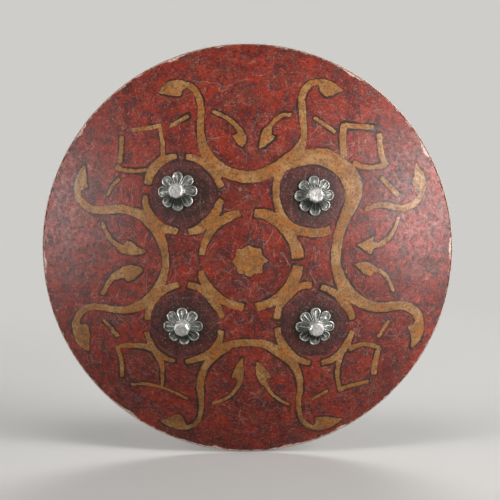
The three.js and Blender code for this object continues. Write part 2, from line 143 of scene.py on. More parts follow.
def makePiece(name, points, faces):
    mesh = bpy.data.meshes.new(name)
    points = np.asarray(points, float).reshape(-1, 3)
    mesh.from_pydata(points.tolist(), [], [list(map(int, face)) for face in faces])
    allSmooth(mesh)
    mesh.update()
    piece = bpy.data.objects.new(name, mesh)
    scene.collection.objects.link(piece)
    return piece


def pointsOf(mesh):
    points = np.empty(len(mesh.vertices) * 3)
    mesh.vertices.foreach_get("co", points)
    return points.reshape(-1, 3)


def movePoints(mesh, points):
    mesh.vertices.foreach_set("co", points.reshape(-1))
    mesh.update()


def storeOnPoints(piece, name, values):
    # Keeps one number for each point, which a material reads by this name.
    kept = piece.data.attributes.new(name, "FLOAT", "POINT")
    kept.data.foreach_set("value", np.asarray(values, np.float32).reshape(-1))


def applyModifiers(piece):
    # The mesh that the piece's modifiers make becomes its own.
    bpy.context.view_layer.update()
    evaluated = piece.evaluated_get(bpy.context.evaluated_depsgraph_get())
    made = bpy.data.meshes.new_from_object(evaluated)
    piece.modifiers.clear()
    piece.data = made
    return made


def gridFaces(rows, columns, wrapRows=False, wrapColumns=True, start=0):
    # Quads of a grid whose point (j, i) has the index start + j * columns + i.
    j = np.arange(rows if wrapRows else rows - 1)[:, None]
    i = np.arange(columns if wrapColumns else columns - 1)[None, :]
    nextJ, nextI = (j + 1) % rows, (i + 1) % columns
    row, nextRow = j * columns, nextJ * columns
    return np.stack([row + i, row + nextI, nextRow + nextI, nextRow + i], -1).reshape(-1, 4) + start


def squareFaces(cells, start=0):
    return gridFaces(cells + 1, cells + 1, False, False, start)


def tubeParts(grid, wrapRows=False):
    # Points and faces of a grid that closes across, with a fan over each open end.
    rows, columns = grid.shape[:2]
    points = grid.reshape(-1, 3)
    faces = list(gridFaces(rows, columns, wrapRows))
    if not wrapRows:
        hubs = np.array([grid[0].mean(0), grid[-1].mean(0)])
        points = np.concatenate([points, hubs])
        first, last = rows * columns, rows * columns + 1
        base = (rows - 1) * columns
        for i in range(columns):
            after = (i + 1) % columns
            faces.append((first, after, i))
            faces.append((last, base + i, base + after))
    return points, faces


def joinParts(parts):
    points, faces, start = [], [], 0
    for partPoints, partFaces in parts:
        points.append(partPoints)
        faces += [tuple(index + start for index in face) for face in partFaces]
        start += len(partPoints)
    return np.concatenate(points), faces


def outward(piece):
    # Turns the faces of a closed piece to point out, by the sign of its volume.
    mesh = piece.data
    mesh.calc_loop_triangles()
    triangles = np.array([triangle.vertices[:] for triangle in mesh.loop_triangles])
    a, b, c = (pointsOf(mesh)[triangles[:, k]] for k in range(3))
    if np.einsum("ij,ij->", a, np.cross(b, c)) < 0:
        mesh.flip_normals()
    return piece


def sweep(path, sections, side, wrap=False):
    # A section carried along a path: point = path + section x * across + section y * up, where across
    # is square to the path and as near as it can be to side. sections has one section or one for each point.
    path = np.asarray(path, float)
    if wrap:
        along = np.roll(path, -1, 0) - np.roll(path, 1, 0)
    else:
        along = np.gradient(path, axis=0)
    along = unit(along)
    side = np.broadcast_to(np.asarray(side, float), path.shape)
    across = unit(side - np.sum(side * along, 1)[:, None] * along)
    up = np.cross(along, across)
    sections = np.broadcast_to(sections, (len(path),) + np.asarray(sections).shape[-2:])
    return path[:, None] + sections[..., :1] * across[:, None] + sections[..., 1:] * up[:, None]


def wire(line, radius, steps, side, wrap=False):
    # A round tube along a line; its radius is one number, or one for each point.
    sections = circle(1, steps)[None] * np.reshape(radius, (-1, 1, 1))
    return tubeParts(sweep(line, sections, side, wrap), wrap)


def onceRound(steps):
    return np.linspace(0, 2 * math.pi, steps, endpoint=False)


def compass(turn):
    # The direction of each angle in a plane: its cosine and its sine.
    return np.stack([np.cos(turn), np.sin(turn)], -1)


def circle(radius, steps):
    return radius * compass(onceRound(steps))


def turnGap(turn, at):
    # The angle from at to turn, from minus half a turn to plus half a turn.
    return np.angle(np.exp(1j * (turn - at)))


def bell(value, width):
    # 1 at zero, falling away on both sides: exp(-(value / width) squared).
    return np.exp(-((value / width) ** 2))


def unit(vectors):
    return vectors / np.linalg.norm(vectors, axis=-1, keepdims=True)


def lengthAlong(line):
    # How far along the line each of its points lies.
    return np.concatenate([[0], np.cumsum(np.linalg.norm(np.diff(line, axis=0), axis=1))])


def pointAt(line, way, at):
    # The point at this distance along a line whose points lie way along it.
    return np.array([np.interp(at, way, line[:, axis]) for axis in range(3)])


def placed(points, origin, axes):
    # Points given along three axes, moved to the part's frame: origin + x * axis 1 + y * axis 2 + z * axis 3.
    return np.asarray(origin) + np.asarray(points) @ np.asarray(axes)


def ripple(points, seed, longest, shortest, count=14):
    # Gentle unevenness from -1 to 1: a sum of sine waves with drawn directions, lengths and phases.
    draw = np.random.default_rng(seed)
    total = np.zeros(points.shape[:-1])
    weight = 0
    for _ in range(count):
        way = unit(draw.normal(size=points.shape[-1]))
        length = math.exp(draw.uniform(math.log(shortest), math.log(longest)))
        share = math.sqrt(length / longest)
        total += share * np.sin(points @ way * (2 * math.pi / length) + draw.uniform(0, 2 * math.pi))
        weight += share**2
    return total / math.sqrt(2 * weight)


def smoothStep(value, start, end):
    share = np.clip((value - start) / (end - start), 0, 1)
    return share * share * (3 - 2 * share)


def settle(piece, body, slot, finish, *replaced):
    # The piece gets its finish, or two with a + between their names, and rides on its body.
    piece.data.materials.clear()
    for name in finish.split("+"):
        piece.data.materials.append(finishes[name])
    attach(piece, body)
    if replaced:
        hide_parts(*replaced)
    return piece


def addPiece(name, points, faces, body, slot, finish, *replaced):
    return settle(outward(makePiece(name, points, faces)), body, slot, finish, *replaced)


# Finishes
class Nodes:
    # Short calls that add nodes to a tree. A value may be a number, a colour or a socket.

    def __init__(self, tree):
        self.tree = tree

    def put(self, socket, value):
        if isinstance(value, bpy.types.NodeSocket):
            self.tree.links.new(value, socket)
        elif isinstance(value, (tuple, list)) and len(value) == 3 and socket.type == "RGBA":
            socket.default_value = (*value, 1)
        else:
            socket.default_value = value

    def node(self, kind, **inputs):
        made = self.tree.nodes.new("ShaderNode" + kind)
        for name, value in inputs.items():
            self.put(made.inputs[name], value)
        return made

    def math(self, kind, a, b=0.0):
        node = self.node("Math")
        node.operation = kind
        self.put(node.inputs[0], a)
        self.put(node.inputs[1], b)
        return node.outputs[0]

    def plus(self, a, b):
        return self.math("ADD", a, b)

    def minus(self, a, b):
        return self.math("SUBTRACT", a, b)

    def times(self, a, b):
        return self.math("MULTIPLY", a, b)

    def span(self, value, start, end, low=0.0, high=1.0):
        # Value from start..end to low..high, smoothly and held at both ends.
        node = self.node("MapRange")
        node.interpolation_type = "SMOOTHSTEP"
        for socket, number in zip(node.inputs[:5], (value, start, end, low, high)):
            self.put(socket, number)
        return node.outputs[0]

    def mix(self, share, a, b):
        node = self.node("Mix", Factor=share)
        node.data_type = "RGBA"
        self.put(node.inputs[6], a)
        self.put(node.inputs[7], b)
        return node.outputs[2]

    def layers(self, colour, *layers):
        # Tints laid over a colour one after another. Each is given as value, start, end, most, tint:
        # none of the tint where the value is at start, rising to most of it where the value is at end.
        for value, start, end, most, tint in layers:
            colour = self.mix(self.span(value, start, end, 0, most), colour, tint)
        return colour

    def attribute(self, name):
        node = self.node("Attribute")
        node.attribute_name = name
        return node.outputs["Fac"]


class Finish(Nodes):
    # A material, with the calls that read its surface's coordinates or set its shader

    def __init__(self, name):
        self.material = bpy.data.materials.new(name)
        self.material.use_nodes = True
        super().__init__(self.material.node_tree)
        self.shader = self.tree.nodes["Principled BSDF"]
        self.coords = self.node("TexCoord").outputs["Object"]

    def set(self, **values):
        for key, value in values.items():
            self.put(self.shader.inputs[key.replace("_", " ")], value)

    def noise(self, scale, detail=3, roughness=0.5, stretch=None, turn=(0, 0, 0), distortion=0):
        coords = self.coords
        if stretch:
            mapping = self.node("Mapping", Vector=coords, Rotation=turn, Scale=stretch)
            mapping.vector_type = "TEXTURE"
            coords = mapping.outputs[0]
        node = self.node("TexNoise", Vector=coords, Scale=scale, Detail=detail, Roughness=roughness,
                         Distortion=distortion)
        return node.outputs["Fac"]

    def cells(self, scale, feature="F1"):
        node = self.node("TexVoronoi", Vector=self.coords, Scale=scale)
        node.feature = feature
        return node.outputs["Distance"]

    def grazing(self, start, end, most):
        # 0 where the surface is seen face on, rising to most where it is seen at a low angle
        return self.span(self.node("LayerWeight").outputs["Facing"], start, end, 0, most)

    def bumps(self, height, distance, strength=0.6):
        node = self.node("Bump", Strength=strength, Distance=distance, Height=height)
        self.put(self.shader.inputs["Normal"], node.outputs[0])


def darker(colour, share):
    return tuple(share * part for part in colour)


lacquer = {
    "red": (0.160, 0.016, 0.008),
    "brightRed": (0.265, 0.024, 0.010),
    "darkRed": (0.062, 0.009, 0.006),
    "brownRed": (0.125, 0.036, 0.020),
    "maroon": (0.072, 0.019, 0.017),
    "purple": (0.075, 0.020, 0.024),
    "darkMaroon": (0.024, 0.010, 0.010),
    "ochre": (0.258, 0.108, 0.030),
    "paleOchre": (0.370, 0.190, 0.070),
    "orangeOchre": (0.335, 0.112, 0.020),
    "brownOchre": (0.100, 0.044, 0.017),
    "outline": (0.022, 0.011, 0.006),
    "fibre": (0.430, 0.215, 0.160),
    "hide": (0.620, 0.470, 0.390),
    "maroonCover": 0.86,
    "outlineWidth": 1.5,  # millimetres, as the attributes are
    "wornWidth": 3.4,
    "chipWidth": 3.6,
    "roughness": 0.45,
    "wornRoughness": 0.58,
    "grazingRoughness": 0.34,
    "gloss": 0.24,
    "grainDepth": 0.45 * mm,
}
# Pale hairs and scratches, a family to a row: the scale of its noise, the way it runs in degrees, how far
# it is drawn out, and the half width of the band about the noise's middle that makes a line
hairs = (
    (38, 9, 11, 0.0040), (52, -14, 14, 0.0036), (33, 64, 12, 0.0034), (47, 103, 10, 0.0038),
    (61, 34, 13, 0.0040), (44, -52, 12, 0.0034), (72, 78, 9, 0.0044), (57, -33, 12, 0.0040),
    (40, 131, 14, 0.0034), (96, 18, 8, 0.0070), (118, -61, 7, 0.0075), (104, 84, 8, 0.0070),
)


def hairLines(f):
    # Thin bands where long drawn-out noise crosses its middle, kept only here and there
    strands = None
    for scale, turn, length, width in hairs:
        around = (0, math.radians(turn), 0)
        drawnOut = f.noise(scale, 2, 0.5, stretch=(1, 1, length), turn=around, distortion=0.25)
        band = f.span(f.math("ABSOLUTE", f.minus(drawnOut, 0.5)), 0, width, 1, 0)
        where = f.span(f.noise(scale * 0.83 + turn * 0.01, 2, 0.5), 0.49, 0.60)
        strand = f.times(band, where)
        strands = strand if strands is None else f.math("MAXIMUM", strands, strand)
    return strands


def paintedHide():
    # Red lacquer on hide. The attribute paint is the distance in millimetres to the nearest ochre edge,
    # negative inside; disc is that to the nearest maroon field; edge is that to the rim; wear is 0 to 1.
    f = Finish("paintedHide")
    paint, disc, edge, wear = (f.attribute(name) for name in ("paint", "disc", "edge", "wear"))
    patch = f.noise(46, 5, 0.66, distortion=0.8)
    mottle = f.noise(190, 5, 0.74)
    speck = f.noise(430, 3, 0.62)
    grain = f.noise(1100, 3, 0.6)
    red = f.layers(
        lacquer["red"],
        (f.noise(15, 5, 0.62), 0.40, 0.60, 1, lacquer["brightRed"]),
        (patch, 0.48, 0.62, 0.85, lacquer["darkRed"]),
        (f.noise(27, 6, 0.7), 0.50, 0.64, 0.62, lacquer["brownRed"]),
        (f.noise(95, 4, 0.55, distortion=0.5), 0.50, 0.62, 0.70, lacquer["purple"]),
        (f.noise(83, 4, 0.55), 0.52, 0.64, 0.65, lacquer["brightRed"]),
    )
    maroon = f.layers(
        lacquer["maroon"],
        (patch, 0.42, 0.60, 1, lacquer["darkMaroon"]),
        (f.noise(70, 4), 0.54, 0.66, 0.8, lacquer["darkRed"]),
    )
    field = f.span(f.plus(disc, f.span(mottle, 0.2, 0.8, -1.4, 1.4)), -1.6, 1.2, 1, 0)
    ground = f.mix(f.times(field, lacquer["maroonCover"]), red, maroon)
    # A dark halo just outside each rosette: grime together with a painted shadow of the rosette
    grimeAndShadow = f.span(f.plus(disc, f.span(patch, 0.2, 0.8, -3, 3)), -17, -8, 0.75, 0)
    ground = f.layers(
        f.mix(grimeAndShadow, ground, lacquer["outline"]),
        (mottle, 0.48, 0.66, 0.66, lacquer["darkMaroon"]),
        (mottle, 0.44, 0.30, 0.34, lacquer["brownRed"]),
        (speck, 0.53, 0.66, 0.55, lacquer["darkMaroon"]),
        (speck, 0.42, 0.28, 0.46, lacquer["fibre"]),
    )
    strands = hairLines(f)
    ground = f.mix(f.times(strands, f.span(disc, -3, 2, 0.24, 0.44)), ground, lacquer["fibre"])
    crackle = f.span(f.cells(120, "DISTANCE_TO_EDGE"), 0.0, 0.035, 1, 0)
    crackle = f.times(crackle, f.span(f.noise(34, 4), 0.50, 0.62, 0, 0.5))
    ground = f.mix(crackle, ground, lacquer["outline"])

    # Ochre ornament with its dark outline, whose width and strength the brush and wear have varied
    shaky = f.plus(paint, f.span(f.noise(140, 4, 0.65), 0.2, 0.8, -0.8, 0.8))
    thinnest, widest = lacquer["outlineWidth"] * 0.25, lacquer["outlineWidth"] * 1.9
    width = f.span(f.noise(38, 3), 0.34, 0.64, thinnest, widest)
    strength = f.span(f.noise(90, 4, 0.7), 0.34, 0.52, 0.50, 0.96)
    lined = f.times(f.span(f.minus(shaky, width), -0.6, 0.5, 1, 0), strength)
    ochre = f.layers(
        lacquer["ochre"],
        (f.noise(48, 4, 0.6), 0.44, 0.58, 1, lacquer["paleOchre"]),
        (f.noise(64, 5, 0.66), 0.48, 0.60, 0.90, lacquer["orangeOchre"]),
        (mottle, 0.48, 0.64, 0.72, lacquer["brownOchre"]),
        (speck, 0.52, 0.64, 0.70, lacquer["brownOchre"]),
        (speck, 0.42, 0.29, 0.55, lacquer["paleOchre"]),
    )
    ochre = f.mix(f.times(strands, 0.35), ochre, lacquer["outline"])
    colour = f.mix(lined, ground, lacquer["outline"])
    colour = f.mix(f.span(shaky, -0.55, 0.20, 1, 0), colour, ochre)

    # The rim's corner is worn to pale hide, and further in where it is chipped
    ragged = f.plus(edge, f.span(f.noise(120, 5, 0.7), 0.25, 0.75, -1.8, 1.8))
    worn = f.minus(ragged, f.times(wear, lacquer["chipWidth"]))
    rubbed = f.span(worn, lacquer["wornWidth"] - 0.9, lacquer["wornWidth"] + 0.7, 0.94, 0)
    colour = f.mix(rubbed, colour, f.layers(lacquer["hide"], (speck, 0.42, 0.62, 1, lacquer["fibre"])))
    rough = f.span(mottle, 0.25, 0.75, lacquer["roughness"] - 0.08, lacquer["wornRoughness"])
    rough = f.plus(rough, f.grazing(0.35, 0.80, lacquer["grazingRoughness"]))
    f.set(Base_Color=colour, Roughness=rough, Specular_IOR_Level=lacquer["gloss"])
    height = f.plus(f.times(mottle, 0.6), f.times(grain, 0.4))
    f.bumps(f.minus(height, f.times(strands, 0.35)), lacquer["grainDepth"])
    return f.material


rawHideColours = {
    "brown": (0.135, 0.066, 0.030),
    "paleBrown": (0.225, 0.122, 0.058),
    "stain": (0.078, 0.037, 0.018),
    "darkMottle": (0.088, 0.043, 0.021),
    "paleMottle": (0.290, 0.175, 0.095),
    "wrinkle": (0.070, 0.034, 0.017),
    "pore": (0.045, 0.022, 0.012),
}


def rawHide():
    # The bare hide of the back and the cut edge: yellowish brown, cloudy, with pores, old handling stains
    # and faint wrinkles that run as the skin was stretched
    f = Finish("rawHide")
    tints = rawHideColours
    stain = f.noise(24, 5, 0.62)
    mottle = f.noise(150, 5, 0.62)
    wrinkle = f.noise(34, 4, 0.55, stretch=(1, 1, 4.5), turn=(0, math.radians(24), 0))
    colour = f.layers(
        tints["brown"],
        (f.noise(9, 4, 0.55), 0.36, 0.64, 1, tints["paleBrown"]),
        (stain, 0.50, 0.70, 0.62, tints["stain"]),
        (mottle, 0.48, 0.68, 0.45, tints["darkMottle"]),
        (mottle, 0.44, 0.28, 0.35, tints["paleMottle"]),
        (wrinkle, 0.54, 0.66, 0.30, tints["wrinkle"]),
    )
    pores = f.span(f.cells(620), 0.04, 0.16, 0.42, 0)
    colour = f.mix(pores, colour, tints["pore"])
    f.set(Base_Color=colour, Roughness=f.span(stain, 0.3, 0.7, 0.66, 0.50), Specular_IOR_Level=0.35)
    height = f.plus(f.times(wrinkle, 0.9), f.times(mottle, 0.5))
    f.bumps(f.minus(height, f.times(pores, 0.4)), 0.5 * mm)
    return f.material


# The black of the painted shadow below each knob
paintedShadow = (0.012, 0.012, 0.010)


def metal(name, bright, dark, roughness, metallic, hollows=False, hammer=0.0, rust=None):
    # Worked metal: brightness by cloudy wear. With hollows, the attribute recess darkens it from 0 to 1,
    # and blackens it beyond 1 with a painted shadow.
    f = Finish(name)
    cloud = f.noise(160, 5, 0.65)
    fine = f.noise(900, 4, 0.6)
    colour = f.layers(bright, (cloud, 0.36, 0.64, 1, darker(bright, 0.72)))
    if hollows:
        recess = f.attribute("recess")
        hollow = f.span(f.plus(recess, f.span(cloud, 0.3, 0.7, -0.25, 0.25)), 0.15, 0.85)
        colour = f.layers(
            f.mix(hollow, colour, dark),
            (f.noise(330, 4, 0.7), 0.50, 0.66, 0.75, dark),
            (fine, 0.46, 0.30, 0.5, bright),
            # the painted shadow, where recess is above 1
            (recess, 0.9, 2.2, 0.90, paintedShadow),
        )
        rough = f.plus(f.times(hollow, 0.35), roughness)
    else:
        colour = f.layers(colour, (fine, 0.55, 0.75, 0.7, dark))
        rough = f.span(cloud, 0.3, 0.7, roughness - 0.06, roughness + 0.12)
    if rust:
        colour = f.layers(colour, (f.noise(240, 5, 0.7), 0.54, 0.70, 0.75, rust))
    f.set(Base_Color=colour, Metallic=metallic, Roughness=rough)
    height = f.times(fine, 0.25)
    if hammer:
        height = f.plus(height, f.times(f.cells(420, "SMOOTH_F1"), hammer))
    f.bumps(height, 0.25 * mm)
    return f.material


def leather(name, dark, light, grainScale, roughness):
    # Vegetable-tanned leather: cloudy colour, cell-like grain with dark creases, and rubbed highlights
    f = Finish(name)
    cloud = f.noise(38, 5, 0.6)
    grain = f.span(f.cells(grainScale, "DISTANCE_TO_EDGE"), 0.0, 0.22)
    colour = f.layers(dark, (cloud, 0.34, 0.66, 1, light))
    colour = f.mix(f.minus(1.0, grain), colour, darker(dark, 0.45))
    colour = f.layers(colour, (f.noise(120, 4, 0.7), 0.56, 0.74, 0.6, darker(dark, 0.5)))
    f.set(Base_Color=colour, Roughness=f.span(cloud, 0.3, 0.7, roughness - 0.1, roughness + 0.1))
    f.set(Coat_Weight=0.12, Coat_Roughness=0.35)
    f.bumps(f.plus(f.times(grain, 0.7), f.times(f.noise(grainScale * 2.6, 3), 0.3)), 0.28 * mm)
    return f.material


velvet = {
    "red": (0.120, 0.012, 0.012),
    "paleRed": (0.235, 0.030, 0.024),
    "crushed": (0.066, 0.008, 0.010),
    "deep": (0.055, 0.007, 0.008),
    "rubbed": (0.250, 0.120, 0.085),
    "sheenTint": (0.9, 0.45, 0.42, 1),
}


def cloth():
    # Worn velvet: short pile with a soft sheen at its edges, crushed darker in patches and rubbed paler
    f = Finish("padCloth")
    crushed = f.noise(58, 4, 0.6, stretch=(1, 1, 2.2), distortion=0.4)
    pile = f.noise(1300, 3, 0.7)
    weave = f.noise(620, 2, 0.5, stretch=(1, 1, 4))
    colour = f.layers(
        velvet["red"],
        (f.noise(22, 5, 0.6), 0.36, 0.64, 1, velvet["paleRed"]),
        (crushed, 0.50, 0.64, 0.7, velvet["crushed"]),
        (pile, 0.44, 0.70, 0.6, velvet["deep"]),
    )
    rubbed = f.times(f.span(f.noise(44, 6, 0.72), 0.54, 0.66), f.span(weave, 0.35, 0.60, 0.3, 1))
    colour = f.mix(f.times(rubbed, 0.55), colour, velvet["rubbed"])
    f.set(Base_Color=colour, Roughness=0.86, Specular_IOR_Level=0.2)
    f.set(Sheen_Weight=0.55, Sheen_Roughness=0.45, Sheen_Tint=velvet["sheenTint"])
    height = f.plus(f.times(pile, 0.6), f.times(weave, 0.4))
    f.bumps(f.minus(height, f.times(f.span(crushed, 0.45, 0.65), 0.6)), 0.35 * mm)
    return f.material


def thread(name, dark, light):
    # Twisted thread: fine streaks in light and dark, rough and dry
    f = Finish(name)
    streak = f.noise(1300, 4, 0.7)
    colour = f.layers(
        dark,
        (f.noise(90, 4), 0.35, 0.65, 1, light),
        (streak, 0.42, 0.70, 0.7, darker(dark, 0.45)),
    )
    f.set(Base_Color=colour, Roughness=0.85, Specular_IOR_Level=0.25)
    f.bumps(streak, 0.15 * mm, 0.7)
    return f.material


finishes = {
    "paintedHide": paintedHide(),
    "rawHide": rawHide(),
    "pewter": metal("darkPewter", (0.36, 0.355, 0.33), (0.105, 0.110, 0.096), 0.46, 0.60, hollows=True),
    "steel": metal("brightSteel", (0.55, 0.535, 0.505), (0.245, 0.235, 0.220), 0.46, 0.55, hollows=True,
                   hammer=1.2),
    "iron": metal("wroughtIron", (0.16, 0.145, 0.130), (0.040, 0.034, 0.030), 0.46, 0.85, hammer=0.5,
                  rust=(0.120, 0.050, 0.022)),
    "gripLeather": leather("gripLeather", (0.052, 0.021, 0.010), (0.120, 0.052, 0.024), 620, 0.50),
    "baseLeather": leather("baseLeather", (0.095, 0.044, 0.021), (0.185, 0.092, 0.045), 520, 0.62),
    "cord": thread("whippingCord", (0.200, 0.130, 0.065), (0.340, 0.240, 0.135)),
    "stitch": thread("saddlerThread", (0.300, 0.220, 0.130), (0.480, 0.380, 0.250)),
    "padCloth": cloth(),
}
print("finishes made:", len(finishes))


